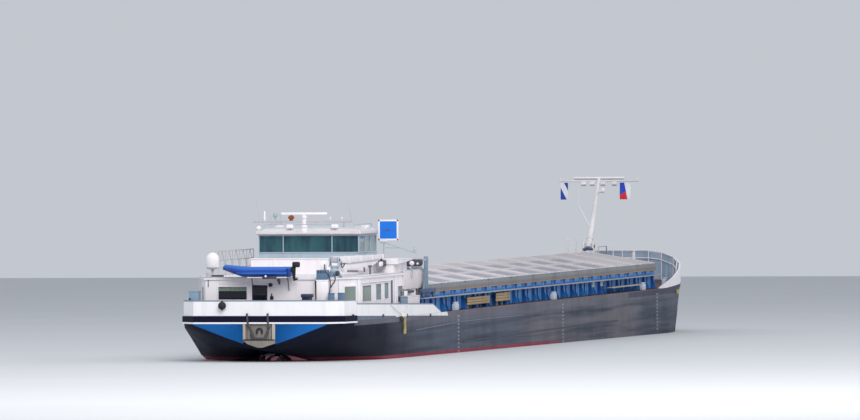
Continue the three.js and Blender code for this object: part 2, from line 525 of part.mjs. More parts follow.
// Roof rail on the port side, posts and three bars.
const roofRail = { s: [5.0, 11.95], y: 3.4, posts: 6, bars: [5.8, 6.3, 6.8], tube: 0.03 };
const railPosts = Array.from({ length: roofRail.posts },
  (_, i) => roofRail.s[0] + (i * (roofRail.s[1] - roofRail.s[0])) / (roofRail.posts - 1));
addPart('roof_rail_port', join(
  ...railPosts.map((s) => rod([s, roofRail.y, house.roofZ + gap], [s, roofRail.y, 6.8], roofRail.tube, 6)),
  ...roofRail.bars.map((z) => rod([roofRail.s[0] - roofRail.tube, roofRail.y, z],
    [roofRail.s[1] + roofRail.tube, roofRail.y, z], roofRail.tube, 6))), 'white');

// Lockers on the side decks and aft deck.
addPart('locker_port', box([0.6, 1.0], [3.22, 3.8], [deckZ + gap, 4.72]), 'craneGrey');
addPart('locker_starboard',
  box([12.2, 14.8], [-4.6, -house.halfWidth - 0.1], [deckZ + gap, 4.18]), 'craneGrey');
addPart('deck_crate', box([0.9, 1.2], [-2.33, -1.78], [deckZ + gap, 4.55]), 'black');

// Round fender hung on the transom plating.
const fender = { y: 1.87, z: 3.98, radius: 0.2 };
function makeFender() {
  const ball = new THREE.SphereGeometry(fender.radius, 12, 8);
  ball.translate(-fender.radius - gap, fender.y, fender.z);
  return solid(ball);
}
addPart('ball_fender', makeFender(), 'black');

// Anchors: crown, two flukes and a shank, upright in their pockets.
const anchorOutline = [[-0.35, 0], [0.35, 0], [0.62, 0.85], [0.3, 0.45], [0.14, 0.2], [0.07, 0.2],
  [0.07, 0.8], [-0.07, 0.8], [-0.07, 0.2], [-0.14, 0.2], [-0.3, 0.45], [-0.62, 0.85]];
const sternAnchorZ = 2.35;
addPart('stern_anchor', alongShip(anchorOutline.map(([u, v]) => [u + 0.05, v + sternAnchorZ - 0.15]),
  anchorPocket.s - gap - 0.22, anchorPocket.s - gap), 'steel');
for (const [name, side] of [['port', 1], ['starboard', -1]]) {
  const face = bowPocket.y + gap;
  addPart(`bow_anchor_${name}`, acrossShip(
    anchorOutline.map(([u, v]) => [81.2 + u, 2.0 + v]),
    side > 0 ? face : -face - 0.2, side > 0 ? face + 0.2 : -face), 'steel');
}

// Windlass on the fore deck.
const windlassS = 80.6;
const foreDeck = sheer(windlassS + 0.5) + gap;
addPart('windlass', join(
  box([windlassS - 0.5, windlassS + 0.5], [-0.9, 0.9], [foreDeck, foreDeck + 0.18]),
  rod([windlassS, -1.2, foreDeck + 0.42], [windlassS, 1.2, foreDeck + 0.42], 0.28, 12),
  box([windlassS - 0.35, windlassS + 0.35], [-0.3, 0.3], [foreDeck, foreDeck + 0.85])), 'craneGrey');

// Railing round the bow, just inside the bulwark and a little above its edge.
const bowRail = { aftS: 80.4, foreS: 85.6, inboard: 0.22, rise: 0.08, step: 0.45, tube: 0.03,
  post: 0.045 };
function makeBowRail() {
  const edge = deckEdge(bowRail.aftS, bowRail.foreS, bowRail.inboard);
  const stations = [...edge, [bowRail.foreS, 0], ...edge.map(([s, y]) => [s, -y]).reverse()];
  const top = (s) => bowTop(s) + bowRail.rise;
  const parts = stations.map(([s, y]) => rod([s, y, sheer(s + bowRail.post) + gap],
    [s, y, top(s) + bowRail.post], bowRail.post));
  for (let i = 1; i < stations.length; i += 1) {
    const [from, to] = [stations[i - 1], stations[i]];
    for (const drop of [0, bowRail.step]) {
      parts.push(rod([...from, top(from[0]) - drop], [...to, top(to[0]) - drop], bowRail.tube, 6));
    }
  }
  return join(...parts);
}
addPart('bow_rail', makeBowRail(), 'white');

// Tabernacle and the leaning signal mast that lowers forward in it.
const cheek = [[-0.35, sheer(76.7) + gap], [0.35, sheer(76.7) + gap], [0.22, 5.85], [-0.22, 5.85]]
  .map(([ds, z]) => [mastFoot.s + ds, z]);
addPart('mast_pedestal', join(
  acrossShip(cheek, mastFoot.clear, mastFoot.clear + 0.08),
  acrossShip(cheek, -mastFoot.clear - 0.08, -mastFoot.clear),
  box([mastFoot.s - 0.3, mastFoot.s + 0.3], [-mastFoot.clear - 0.08, mastFoot.clear + 0.08],
    [sheer(76.7) + gap, 4.9])), 'coamingBlue');

const mastGroup = new THREE.Group();
mastGroup.position.set(mastFoot.s, 0, mastFoot.z);
mastGroup.rotation.y = THREE.MathUtils.degToRad(mastFoot.lean);
ship.add(mastGroup);
const yardLamps = [-0.96, -0.28, 0.35, 0.87]
  .map((y) => rod([0, y, mast.yardZ - 0.3], [0, y, mast.yardZ], 0.08));
addPart('signal_mast', join(
  rod([0, 0, -0.1], [0, 0, mast.length], 0.18, 10, 0.1),
  rod([0, gap - mastFoot.clear, 0], [0, mastFoot.clear - gap, 0], 0.06),
  box([-0.06, 0.06], [-mast.yardHalf, mast.yardHalf], [mast.yardZ - 0.06, mast.yardZ + 0.06]),
  ...yardLamps,
  ...[-1, 1].map((side) => rod([0, side * 2.3, mast.yardZ], [0, side * 2.3, mast.yardZ + 0.22], 0.07))),
'white', mastGroup);
addPart('radar_scanner_bow', join(
  rod([0, 0, mast.length + gap], [0, 0, mast.length + 0.06], 0.09, 10),
  box([-0.09, 0.09], [-1.5, 1.5], [mast.length + 0.04, mast.length + 0.16])), 'white', mastGroup);

// Two small cloth flags that hang from the yard.
const yardEdge = new THREE.Vector3(0.06, 0, mast.yardZ - 0.06).applyAxisAngle(
  new THREE.Vector3(0, 1, 0), mastGroup.rotation.y).add(mastGroup.position);
for (const [name, y, width] of [['pennant', 2.06, 0.44], ['flag', -1.57, 0.64]]) {
  addPart(name, box([yardEdge.x - 0.05, yardEdge.x + 0.05], [y - width / 2, y + width / 2],
    [yardEdge.z - 1.0, yardEdge.z - gap]), 'cloth');
}

// Propeller in the nozzle and the two rudders behind it.
function makeScrew() {
  const blades = [];
  for (let i = 0; i < 4; i += 1) {
    const blade = new THREE.BoxGeometry(0.34, 0.06, screw.radius);
    blade.rotateZ(0.6);
    blade.translate(0, 0, screw.radius / 2);
    blade.rotateX((i * Math.PI) / 2);
    blade.translate(screw.s, 0, screw.z);
    blades.push(solid(blade));
  }
  return join(rod([screw.s - 0.25, 0, screw.z], [screw.s + 0.3 - gap, 0, screw.z], 0.14, 10, 0.1), ...blades);
}
addPart('propeller', makeScrew(), 'bronze');
for (const [name, side] of [['port', 1], ['starboard', -1]]) {
  const y = side * rudder.y;
  addPart(`rudder_${name}`, join(
    upright([[rudder.s - 0.6, y - 0.02], [rudder.s + 0.3, y - 0.07], [rudder.s + 0.55, y],
      [rudder.s + 0.3, y + 0.07], [rudder.s - 0.6, y + 0.02]], ...rudder.z),
    rod([rudder.s, y, rudder.z[1] - 0.02], [rudder.s, y, 1.5 - gap], 0.06)), 'steel');
}

const model = new THREE.Group();
const sternMost = -2 * fender.radius - gap;
ship.position.x = (-(length + sternMost) / 2) * modelScale;
ship.scale.setScalar(modelScale);
model.add(ship);

export default model;
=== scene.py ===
import math

import bmesh
import bpy
from mathutils import Matrix, Vector


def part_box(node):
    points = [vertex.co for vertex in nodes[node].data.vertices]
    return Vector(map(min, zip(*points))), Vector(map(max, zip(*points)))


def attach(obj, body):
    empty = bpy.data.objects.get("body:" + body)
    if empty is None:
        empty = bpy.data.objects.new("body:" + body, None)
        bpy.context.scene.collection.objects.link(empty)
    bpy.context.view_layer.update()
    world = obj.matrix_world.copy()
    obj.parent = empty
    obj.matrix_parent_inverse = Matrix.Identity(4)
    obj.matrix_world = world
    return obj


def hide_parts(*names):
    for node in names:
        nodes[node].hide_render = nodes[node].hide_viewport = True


# River cargo barge, 1:10 model. Lengths in the dictionaries below are metres of the real barge:
# s forward of the transom, y to port, z up from the flat bottom. at() turns them into model metres.
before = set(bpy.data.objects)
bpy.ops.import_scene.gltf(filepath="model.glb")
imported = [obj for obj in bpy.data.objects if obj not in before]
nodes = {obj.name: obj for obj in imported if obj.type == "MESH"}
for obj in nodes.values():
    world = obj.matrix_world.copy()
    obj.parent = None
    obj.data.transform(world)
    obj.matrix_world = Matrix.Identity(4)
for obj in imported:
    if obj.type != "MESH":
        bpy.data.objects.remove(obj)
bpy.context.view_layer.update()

barge = {"scale": 0.1, "length": 86.0, "deckZ": 3.2, "sheerStart": 75.5, "stemDeckZ": 3.5}
scale = barge["scale"]
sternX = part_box("hull")[0].x
bothSides = (1, -1)
print("frame loaded,", len(nodes), "nodes")


def at(s, y, z):
    return Vector((sternX + s * scale, y * scale, z * scale))


def sheerZ(s):
    rise = max(0.0, (s - barge["sheerStart"]) / (barge["length"] - barge["sheerStart"]))
    return barge["deckZ"] + (barge["stemDeckZ"] - barge["deckZ"]) * rise


# The value at s of a line drawn through (s, value) rows.
def alongRows(rows, s):
    for (s0, v0), (s1, v1) in zip(rows, rows[1:]):
        if s <= s1:
            return v0 + (v1 - v0) * max(0.0, s - s0) / (s1 - s0)
    return rows[-1][1]


# Camera, at the photograph's place: far astern, a little to starboard and just above the deck.
camera = {
    "azimuth": -76.633, "elevation": 0.6855, "roll": -0.4036, "distance": 45.914,
    "aim": (-0.6286, 0.0, 0.8236), "fieldPixels": 8581.13, "imageWidth": 860, "sensor": 36.0, "farEnd": 400.0}


def makeCamera():
    turn, rise, roll = (math.radians(camera[k]) for k in ("azimuth", "elevation", "roll"))
    back = Vector((math.sin(turn) * math.cos(rise), -math.cos(turn) * math.cos(rise), math.sin(rise)))
    right = Vector((math.cos(turn), math.sin(turn), 0.0))
    up = back.cross(right)
    tiltedRight = right * math.cos(roll) + up * math.sin(roll)
    tiltedUp = up * math.cos(roll) - right * math.sin(roll)
    data = bpy.data.cameras.new("camera")
    data.sensor_width = camera["sensor"]
    data.lens = camera["fieldPixels"] / camera["imageWidth"] * camera["sensor"]
    data.clip_end = camera["farEnd"]
    eye = bpy.data.objects.new("camera", data)
    place = Vector(camera["aim"]) + back * camera["distance"]
    turned = Matrix((tiltedRight, tiltedUp, back)).transposed().to_4x4()
    eye.matrix_world = Matrix.Translation(place) @ turned
    bpy.context.scene.collection.objects.link(eye)
    bpy.context.scene.camera = eye


makeCamera()
print("camera placed")


# Node helpers. An input is a value or another node's output.
def addNode(tree, kind, inputs=None, **settings):
    added = tree.nodes.new(kind)
    for key, value in settings.items():
        setattr(added, key, value)
    for key, value in (inputs or {}).items():
        if isinstance(value, bpy.types.NodeSocket):
            tree.links.new(value, added.inputs[key])
        else:
            added.inputs[key].default_value = value
    return added


def maths(tree, operation, first, second=0.0):
    return addNode(tree, "ShaderNodeMath", {0: first, 1: second}, operation=operation).outputs[0]


def product(tree, first, second):
    return maths(tree, "MULTIPLY", first, second)


# A height along the barge: base + slope * along.
def slopeLine(tree, along, base, slope):
    return maths(tree, "ADD", product(tree, along, slope), base)


def mixColour(tree, factor, first, second, mode="MIX"):
    inputs = {0: factor, 6: first, 7: second}
    return addNode(tree, "ShaderNodeMix", inputs, data_type="RGBA", blend_type=mode).outputs[2]


def mapRange(tree, value, low, high, toLow=0.0, toHigh=1.0):
    inputs = {"Value": value, "From Min": low, "From Max": high, "To Min": toLow, "To Max": toHigh}
    return addNode(tree, "ShaderNodeMapRange", inputs).outputs[0]


def noise(tree, place, size, detail, roughness=0.5):
    inputs = {"Vector": place, "Scale": size, "Detail": detail, "Roughness": roughness}
    return addNode(tree, "ShaderNodeTexNoise", inputs).outputs["Fac"]


def stretched(tree, place, by):
    return addNode(tree, "ShaderNodeMapping", {"Vector": place, "Scale": by}).outputs[0]


def axes(tree, vector):
    return addNode(tree, "ShaderNodeSeparateXYZ", {"Vector": vector}).outputs


def newGroup(name, inputs, outputs):
    group = bpy.data.node_groups.new(name, "ShaderNodeTree")
    for label, kind, value in inputs:
        socket = group.interface.new_socket(name=label, in_out="INPUT", socket_type="NodeSocket" + kind)
        if value is not None:
            socket.default_value = value
    for label, kind in outputs:
        group.interface.new_socket(name=label, in_out="OUTPUT", socket_type="NodeSocket" + kind)
    return group, addNode(group, "NodeGroupInput").outputs, addNode(group, "NodeGroupOutput").inputs


# Weathered paint: rain streaks that run down, soft blotches and a few rusty spots.
weatherLook = {
    "streakGrain": (26.0, 26.0, 2.2), "streakLimits": (0.48, 0.78), "blotchSize": 3.2,
    "blotchLimits": (0.42, 0.72), "spotSize": 34.0, "spotLimits": (0.64, 0.72), "rust": (0.2, 0.07, 0.03, 1),
    "roughened": 0.16, "grainSize": 90.0, "grainShare": 0.35}


def makeWeatherGroup():
    group, given, out = newGroup("weatheredPaint", [
        ("Vector", "Vector", None), ("Paint", "Color", (0.8, 0.8, 0.8, 1)),
        ("Dirt", "Color", (0.2, 0.17, 0.14, 1)), ("Streaks", "Float", 0.3), ("Blotches", "Float", 0.3),
        ("Rust", "Float", 0.0), ("Roughness", "Float", 0.5)],
        [("Color", "Color"), ("Roughness", "Float"), ("Height", "Float")])
    look, place = weatherLook, given["Vector"]
    streak = noise(group, stretched(group, place, look["streakGrain"]), 1.0, 5.0, 0.6)
    streakMask = mapRange(group, streak, *look["streakLimits"])
    blotch = noise(group, place, look["blotchSize"], 6.0, 0.62)
    blotchMask = mapRange(group, blotch, *look["blotchLimits"])
    spotMask = mapRange(group, noise(group, place, look["spotSize"], 4.0, 0.7), *look["spotLimits"])
    colour = given["Paint"]
    for mask, strength, stain in ((streakMask, given["Streaks"], given["Dirt"]),
                                  (blotchMask, given["Blotches"], given["Dirt"]),
                                  (spotMask, given["Rust"], look["rust"])):
        colour = mixColour(group, product(group, mask, strength), colour, stain)
    rough = maths(group, "ADD", given["Roughness"], product(group, blotchMask, look["roughened"]))
    grain = noise(group, place, look["grainSize"], 3.0)
    height = maths(group, "ADD", product(group, grain, look["grainShare"]),
                   product(group, blotch, 1.0 - look["grainShare"]))
    group.links.new(colour, out["Color"])
    group.links.new(rough, out["Roughness"])
    group.links.new(height, out["Height"])
    return group


# 1 between two limits and 0 outside them, with a soft edge.
def makeSpanGroup():
    group, given, out = newGroup("spanMask", [("Value", "Float", 0.0), ("Low", "Float", 0.0),
                                              ("High", "Float", 1.0), ("Soft", "Float", 0.0005)],
                                 [("Mask", "Float")])
    rise, fall = (maths(group, "DIVIDE", maths(group, "SUBTRACT", given[more], given[less]), given["Soft"])
                  for more, less in (("Value", "Low"), ("High", "Value")))
    inside = maths(group, "ADD", maths(group, "MINIMUM", rise, fall), 0.5)
    group.links.new(maths(group, "MINIMUM", maths(group, "MAXIMUM", inside, 0.0), 1.0), out["Mask"])
    return group


# Woven cloth on a UV map: threads over and under, and a soft colour change.
def makeWeaveGroup():
    group, given, out = newGroup("wovenCloth", [
        ("Vector", "Vector", None), ("Paint", "Color", (0.8, 0.8, 0.8, 1)), ("Threads", "Float", 90.0)],
        [("Color", "Color"), ("Height", "Float")])
    part = axes(group, given["Vector"])
    waves = [maths(group, "SINE", product(group, product(group, part[i], given["Threads"]), math.tau))
             for i in (0, 1)]
    weave = product(group, *waves)
    dark = mixColour(group, 1.0, given["Paint"], (0.72, 0.72, 0.74, 1), "MULTIPLY")
    cloud = mapRange(group, noise(group, given["Vector"], 9.0, 4.0), 0.3, 0.7, 0.0, 0.6)
    shade = maths(group, "ADD", product(group, weave, 0.12), cloud)
    group.links.new(mixColour(group, shade, given["Paint"], dark), out["Color"])
    group.links.new(weave, out["Height"])
    return group


groups = {"weather": makeWeatherGroup(), "span": makeSpanGroup(), "weave": makeWeaveGroup()}
made = {}


def linear(red, green, blue):
    def one(v):
        v /= 255.0
        return v / 12.92 if v <= 0.04045 else ((v + 0.055) / 1.055) ** 2.4
    return (one(red), one(green), one(blue), 1.0)


def darker(colour, share):
    return tuple(share * v for v in colour[:3]) + (1.0,)


def startMaterial(name, space="Object"):
    material = bpy.data.materials.new(name)
    material.use_nodes = True
    made[name] = material
    tree = material.node_tree
    return tree, tree.nodes["Principled BSDF"], addNode(tree, "ShaderNodeTexCoord").outputs[space]


def spanOf(tree, value, low, high, soft=0.0008):
    inputs = {"Value": value, "Low": low, "High": high, "Soft": soft}
    return addNode(tree, "ShaderNodeGroup", inputs, node_tree=groups["span"]).outputs[0]


# Distance forward of the transom and the other two axes, in model metres.
def bargeAxes(tree, place):
    part = axes(tree, place)
    return maths(tree, "SUBTRACT", part[0], sternX), part[1], part[2]


def addBump(tree, shader, height, distance, strength):
    bump = addNode(tree, "ShaderNodeBump", {"Height": height, "Distance": distance, "Strength": strength})
    tree.links.new(bump.outputs[0], shader.inputs["Normal"])


def addWeather(tree, shader, place, colour, look):
    dirt = look.get("dirt", (90, 80, 70))
    inputs = {"Vector": place, "Paint": colour,
              "Dirt": dirt if isinstance(dirt, bpy.types.NodeSocket) else linear(*dirt),
              "Streaks": look.get("streaks", 0.2), "Blotches": look.get("blotches", 0.2),
              "Rust": look.get("rust", 0.0), "Roughness": look.get("roughness", 0.5)}
    coat = addNode(tree, "ShaderNodeGroup", inputs, node_tree=groups["weather"]).outputs
    tree.links.new(coat["Color"], shader.inputs["Base Color"])
    tree.links.new(coat["Roughness"], shader.inputs["Roughness"])
    addBump(tree, shader, coat["Height"], look.get("bump", 0.001), 0.5)
    shader.inputs["Metallic"].default_value = look.get("metallic", 0.0)
    shader.inputs["Specular IOR Level"].default_value = look.get("specular", 0.4)


def paint(colour, dirt, streaks, blotches, roughness, rust=0.0, metallic=0.0):
    return {"colour": colour, "dirt": dirt, "streaks": streaks, "blotches": blotches,
            "roughness": roughness, "rust": rust, "metallic": metallic}


paints = {
    "whitePaint": paint((236, 232, 236), (168, 162, 164), 0.16, 0.12, 0.42, rust=0.02),
    "roofPaint": paint((214, 216, 222), (140, 130, 125), 0.2, 0.3, 0.5),
    "fasciaPaint": paint((216, 208, 208), (164, 150, 148), 0.2, 0.2, 0.5),
    "greyPaint": paint((124, 148, 168), (70, 70, 72), 0.3, 0.25, 0.5, rust=0.15),
    "beigePanel": paint((208, 202, 206), (160, 150, 148), 0.2, 0.2, 0.55),
    "sillPaint": paint((168, 184, 196), (110, 112, 116), 0.25, 0.15, 0.45),
    "paleLocker": paint((126, 150, 170), (90, 104, 124), 0.3, 0.3, 0.5),
    "mastPaint": paint((224, 222, 224), (150, 146, 146), 0.2, 0.35, 0.5),
    "crateLid": paint((48, 58, 88), (30, 36, 56), 0.2, 0.3, 0.5),
    "domeCyan": paint((150, 178, 182), (110, 130, 136), 0.1, 0.2, 0.4),
    "bogieBlue": paint((62, 80, 118), (40, 50, 76), 0.2, 0.35, 0.5),
    "blueLocker": paint((90, 118, 148), (76, 84, 94), 0.3, 0.2, 0.5),
    "navyPaint": paint((18, 19, 50), (60, 58, 66), 0.25, 0.2, 0.35),
    "blackPlastic": paint((24, 25, 30), (70, 68, 66), 0.15, 0.2, 0.55),
    "rubber": paint((14, 14, 24), (70, 68, 66), 0.1, 0.3, 0.6),
    "steel": paint((120, 122, 126), (80, 58, 44), 0.3, 0.4, 0.5, rust=0.4, metallic=0.7),
    "railGrey": paint((178, 176, 180), (96, 92, 90), 0.3, 0.2, 0.5),
    "pocketPaint": paint((172, 166, 156), (96, 86, 74), 0.35, 0.3, 0.6, rust=0.2),
    "pocketShade": paint((132, 127, 120), (70, 62, 58), 0.4, 0.35, 0.65, rust=0.25),
    "anchorSteel": paint((72, 70, 78), (60, 46, 38), 0.3, 0.4, 0.6, rust=0.35),
    "bronze": paint((150, 118, 66), (70, 84, 62), 0.1, 0.4, 0.35, metallic=0.9),
    "boatBlue": paint((48, 104, 192), (30, 60, 130), 0.1, 0.12, 0.38),
    "boatDeep": paint((28, 72, 164), (20, 40, 100), 0.1, 0.2, 0.45),
    "signBlue": paint((10, 116, 222), (20, 70, 150), 0.1, 0.1, 0.4),
    "board": paint((170, 148, 114), (110, 88, 60), 0.4, 0.4, 0.7),
    "ladderPaint": paint((172, 162, 144), (110, 100, 88), 0.2, 0.3, 0.6),
    "yardGrey": paint((188, 188, 196), (104, 102, 104), 0.2, 0.3, 0.5),
    "amber": paint((140, 74, 38), (90, 40, 20), 0.1, 0.3, 0.3),
    "pipeGrey": paint((100, 98, 116), (70, 68, 80), 0.2, 0.3, 0.6),
    "driveDark": paint((56, 52, 68), (110, 104, 112), 0.2, 0.3, 0.6),
    "softGrey": paint((178, 176, 186), (120, 118, 128), 0.2, 0.3, 0.6),
    "railLine": paint((98, 106, 122), (84, 90, 104), 0.2, 0.4, 0.6),
    "railShade": paint((54, 62, 78), (84, 90, 104), 0.2, 0.4, 0.6),
    "yellowRope": paint((172, 166, 116), (120, 108, 60), 0.3, 0.4, 0.9),
    "whiteRope": paint((214, 212, 206), (140, 136, 126), 0.3, 0.4, 0.9),
    "darkRope": paint((60, 62, 66), (40, 36, 32), 0.2, 0.4, 0.9),
    "bollardPaint": paint((188, 198, 210), (110, 120, 136), 0.3, 0.3, 0.5),
    # Painted shade: grey blue for the cap rail along the top of the stern plating.
    "capRailShade": paint((118, 132, 154), (84, 92, 108), 0.2, 0.2, 0.5),
    # Painted light: a lighter copy of the coaming blue for the lit bracket boxes.
    "coamingLitBlue": paint((72, 138, 190), (24, 78, 140), 0.3, 0.35, 0.45),
    # Painted shade: blue grey for the ribs inside the bow plating.
    "bowRibShade": paint((150, 172, 194), (98, 128, 158), 0.35, 0.4, 0.5, rust=0.05),
    "greenBlind": paint((134, 150, 138), (96, 110, 96), 0.1, 0.2, 0.8)}


def makePaints():
    for name, look in paints.items():
        tree, shader, place = startMaterial(name)
        addWeather(tree, shader, place, linear(*look["colour"]), look)


makePaints()

# Window glass with a faint cloud in its tint; the bridge's stern panes go deeper between upright folds.
evenGrain = (7.0, 7.0, 7.0)
glassLooks = {
    "sternGlass": {"colour": (48, 94, 100), "deep": (22, 34, 64), "grain": (5.0, 14.0, 3.0),
        "roughness": 0.06, "transmission": 0.12},
    "sideGlass": {"colour": (160, 174, 178), "roughness": 0.08, "transmission": 0.2},
    "lampGlass": {"colour": (236, 238, 240), "roughness": 0.12, "transmission": 0.2},
    "cabinGlass": {"colour": (134, 150, 142), "roughness": 0.1, "transmission": 0.1},
    "cabinGlassBlue": {"colour": (118, 140, 150), "roughness": 0.1, "transmission": 0.1},
    "darkGlass": {"colour": (16, 22, 34), "roughness": 0.08, "transmission": 0.1}}


def makeGlasses():
    for name, look in glassLooks.items():
        tree, shader, place = startMaterial(name)
        cloud = noise(tree, stretched(tree, place, look.get("grain", evenGrain)), 1.0, 4.0)
        tint, rough = linear(*look["colour"]), look["roughness"]
        deep = linear(*look["deep"]) if "deep" in look else darker(tint, 0.72)
        tree.links.new(mixColour(tree, mapRange(tree, cloud, 0.38, 0.62), deep, tint),
                       shader.inputs["Base Color"])
        tree.links.new(mapRange(tree, cloud, 0.3, 0.7, rough, rough + 0.08), shader.inputs["Roughness"])
        shader.inputs["Transmission Weight"].default_value = look["transmission"]
        shader.inputs["IOR"].default_value = 1.45


makeGlasses()

# Hull side: grey topsides with long smears, the counter darkened as painted shade and painted reflection of
# the dark water, painted bands and marks, boot-top at the water.
# Colours are named first. Then come the spans that the masks use, as low, high and softness in model
# metres (of the height z, the way forward of the transom, or a part of the normal), and the lines.
hullLook = {
    "side": (82, 90, 106), "sideLight": (112, 110, 118), "sideDark": (58, 66, 80), "upper": (112, 112, 122),
    "counterShade": (13, 18, 40), "navy": (11, 12, 40), "panel": (24, 104, 180), "white": (232, 232, 236),
    "bootTop": (150, 58, 76), "belowWater": (70, 34, 42), "deck": (96, 66, 60), "deckEdge": (124, 100, 100),
    "mark": (156, 162, 168), "pocket": (138, 133, 126), "foreDark": (48, 54, 80), "facesUp": (0.7, 2.0, 0.05),
    "facesAft": (-2.0, -0.8, 0.05), "smears": (0.36, 0.56), "lightSmears": (0.98, 1.24),
    "lightForward": (1.6, 3.4, 0.25, 1.0), "upperZ": (0.262, 0.5, 0.03), "foreS": (6.5, 9.0, 0.05),
    "foreZ": (0.285, 0.5, 0.004), "pastCounterS": (0.215, 9.0), "overCounterZ": (0.295, 1.0, 0.002),
    "counterShadeFade": (0.7, 1.5, 1.0, 0.0), "bootZ": (-0.002, 0.018, 0.003), "bootS": (0.1, 4.6, 0.6),
    "sunkZ": (-9.0, -0.002, 0.001), "panelZ": (0.0, 0.308), "panelS": (-1.0, 0.04),
    "pocketY": (-0.078, 0.087), "pocketFoot": (0.0, 0.216, 0.002), "aftS": (-1.0, 0.25),
    "navyZ": (0.3175, 0.5), "thinWhiteZ": (0.3085, 0.3175), "overLine": (0.0, 9.0, 0.0006),
    "whiteEnd": (-1.0, 2.34), "rungStep": 0.01, "rungs": (0.0045, 0.05, 0.003), "markZ": (0.075, 0.3, 0.004),
    "markStations": (2.275, 4.78, 7.285), "markHalf": 0.018, "edgeS": (2.05, 7.5), "edgeZ": (0.3165, 0.5),
    "water": (0.12, -0.00814), "whiteLine": (0.349, -0.0245)}


def makeHullMaterial():
    tree, shader, place = startMaterial("hullPaint")
    look = hullLook

    def within(value, key):
        return spanOf(tree, value, *look[key])

    def cover(colour, mask, key):
        return mixColour(tree, mask, colour, linear(*look[key]))

    def both(first, second):
        return product(tree, first, second)

    along, y, z = bargeAxes(tree, place)
    normal = axes(tree, addNode(tree, "ShaderNodeNewGeometry").outputs["True Normal"])
    smears = noise(tree, stretched(tree, place, (0.8, 1.0, 30.0)), 1.0, 5.0)
    broad = noise(tree, place, 0.7, 2.0)
    colour = cover(linear(*look["sideDark"]), mapRange(tree, smears, *look["smears"]), "side")
    light = mapRange(tree, maths(tree, "ADD", smears, broad), *look["lightSmears"])
    colour = cover(colour, both(light, mapRange(tree, along, *look["lightForward"])), "sideLight")
    colour = cover(colour, both(within(z, "upperZ"), 0.6), "upper")
    colour = cover(colour, both(both(within(along, "foreS"), within(z, "foreZ")), 0.7), "foreDark")
    # Painted shade: the counter goes dark navy astern and fades out forward, except for the band along its
    # top.
    aboveCounter = both(within(along, "pastCounterS"), within(z, "overCounterZ"))
    counterShadeMask = both(mapRange(tree, along, *look["counterShadeFade"]), maths(tree, "SUBTRACT", 1.0, aboveCounter))
    colour = cover(colour, counterShadeMask, "counterShade")
    above = maths(tree, "SUBTRACT", z, slopeLine(tree, along, *look["water"]))
    colour = cover(colour, both(within(above, "bootZ"), within(along, "bootS")), "bootTop")
    colour = cover(colour, within(above, "sunkZ"), "belowWater")
    panel = both(both(within(normal[0], "facesAft"), within(z, "panelZ")), within(along, "panelS"))
    colour = cover(colour, panel, "panel")
    # The transom below the anchor pocket takes the counter's painted shade.
    pocketTint = cover(linear(*look["pocket"]), within(z, "pocketFoot"), "counterShade")
    colour = mixColour(tree, both(within(y, "pocketY"), panel), colour, pocketTint)
    aft = within(along, "aftS")
    colour = cover(colour, both(aft, within(z, "navyZ")), "navy")
    colour = cover(colour, both(aft, within(z, "thinWhiteZ")), "white")
    overLine = maths(tree, "SUBTRACT", z, slopeLine(tree, along, *look["whiteLine"]))
    ends = within(maths(tree, "ADD", along, z), "whiteEnd")
    colour = cover(colour, both(within(overLine, "overLine"), ends), "white")
    rungs = both(within(maths(tree, "PINGPONG", z, look["rungStep"]), "rungs"), within(z, "markZ"))
    for station in look["markStations"]:
        near = spanOf(tree, along, station - look["markHalf"], station + look["markHalf"], 0.02)
        colour = cover(colour, both(both(near, rungs), 0.75), "mark")
    colour = cover(colour, both(within(along, "edgeS"), within(z, "edgeZ")), "deckEdge")
    colour = cover(colour, within(normal[2], "facesUp"), "deck")
    # The dirt also turns dark over the counter, as painted shade.
    dirt = mixColour(tree, counterShadeMask, linear(60, 62, 72), linear(8, 12, 28))
    addWeather(tree, shader, place, colour, {"dirt": dirt, "streaks": 0.14, "blotches": 0.3, "rust": 0.16,
                                            "roughness": 0.55, "bump": 0.002, "specular": 0.15})


# Bow plating: white outside, and blue grey on its inner face as painted shade.
bowLook = {"outer": (236, 233, 238), "inner": (124, 152, 178), "innerShadeLight": (170, 188, 206), "centreS": 70.0}


def makeBowPlatingMaterial():
    tree, shader, place = startMaterial("bowPlatingPaint")
    normal = addNode(tree, "ShaderNodeNewGeometry").outputs["True Normal"]
    outward = addNode(tree, "ShaderNodeVectorMath", {0: place, 1: (at(bowLook["centreS"], 0, 0).x, 0.0, 0.0)},
                      operation="SUBTRACT").outputs["Vector"]
    facing = addNode(tree, "ShaderNodeVectorMath", {0: outward, 1: normal},
                     operation="DOT_PRODUCT").outputs["Value"]
    cloud = mapRange(tree, noise(tree, place, 2.4, 3.0), 0.4, 0.6)
    # The inner face's blue grey, with lighter clouds in it, is painted shade.
    inner = mixColour(tree, cloud, linear(*bowLook["inner"]), linear(*bowLook["innerShadeLight"]))
    colour = mixColour(tree, spanOf(tree, facing, -9.0, -0.01, 0.01), linear(*bowLook["outer"]), inner)
    addWeather(tree, shader, place, colour, {"dirt": (150, 146, 150), "streaks": 0.2, "blotches": 0.2,
                                            "rust": 0.03, "roughness": 0.45, "bump": 0.002})


# Stern plating: white, with the navy band running over its foot at the stern and grey further forward.
bulwarkLook = {"foot": (88, 98, 118), "lowS": (-1.0, 0.9)}


def makeBulwarkMaterial():
    tree, shader, place = startMaterial("bulwarkPaint")
    along, _, z = bargeAxes(tree, place)
    overLine = maths(tree, "SUBTRACT", z, slopeLine(tree, along, *hullLook["whiteLine"]))
    low = product(tree, spanOf(tree, overLine, -9.0, 0.0), spanOf(tree, along, *bulwarkLook["lowS"]))
    aft = spanOf(tree, along, *hullLook["aftS"])
    foot = mixColour(tree, aft, linear(*bulwarkLook["foot"]), linear(*hullLook["navy"]))
    colour = mixColour(tree, low, linear(*hullLook["white"]), foot)
    addWeather(tree, shader, place, colour, {"dirt": (176, 170, 172), "streaks": 0.25, "blotches": 0.12,
                                            "rust": 0.03, "roughness": 0.42, "specular": 0.25})


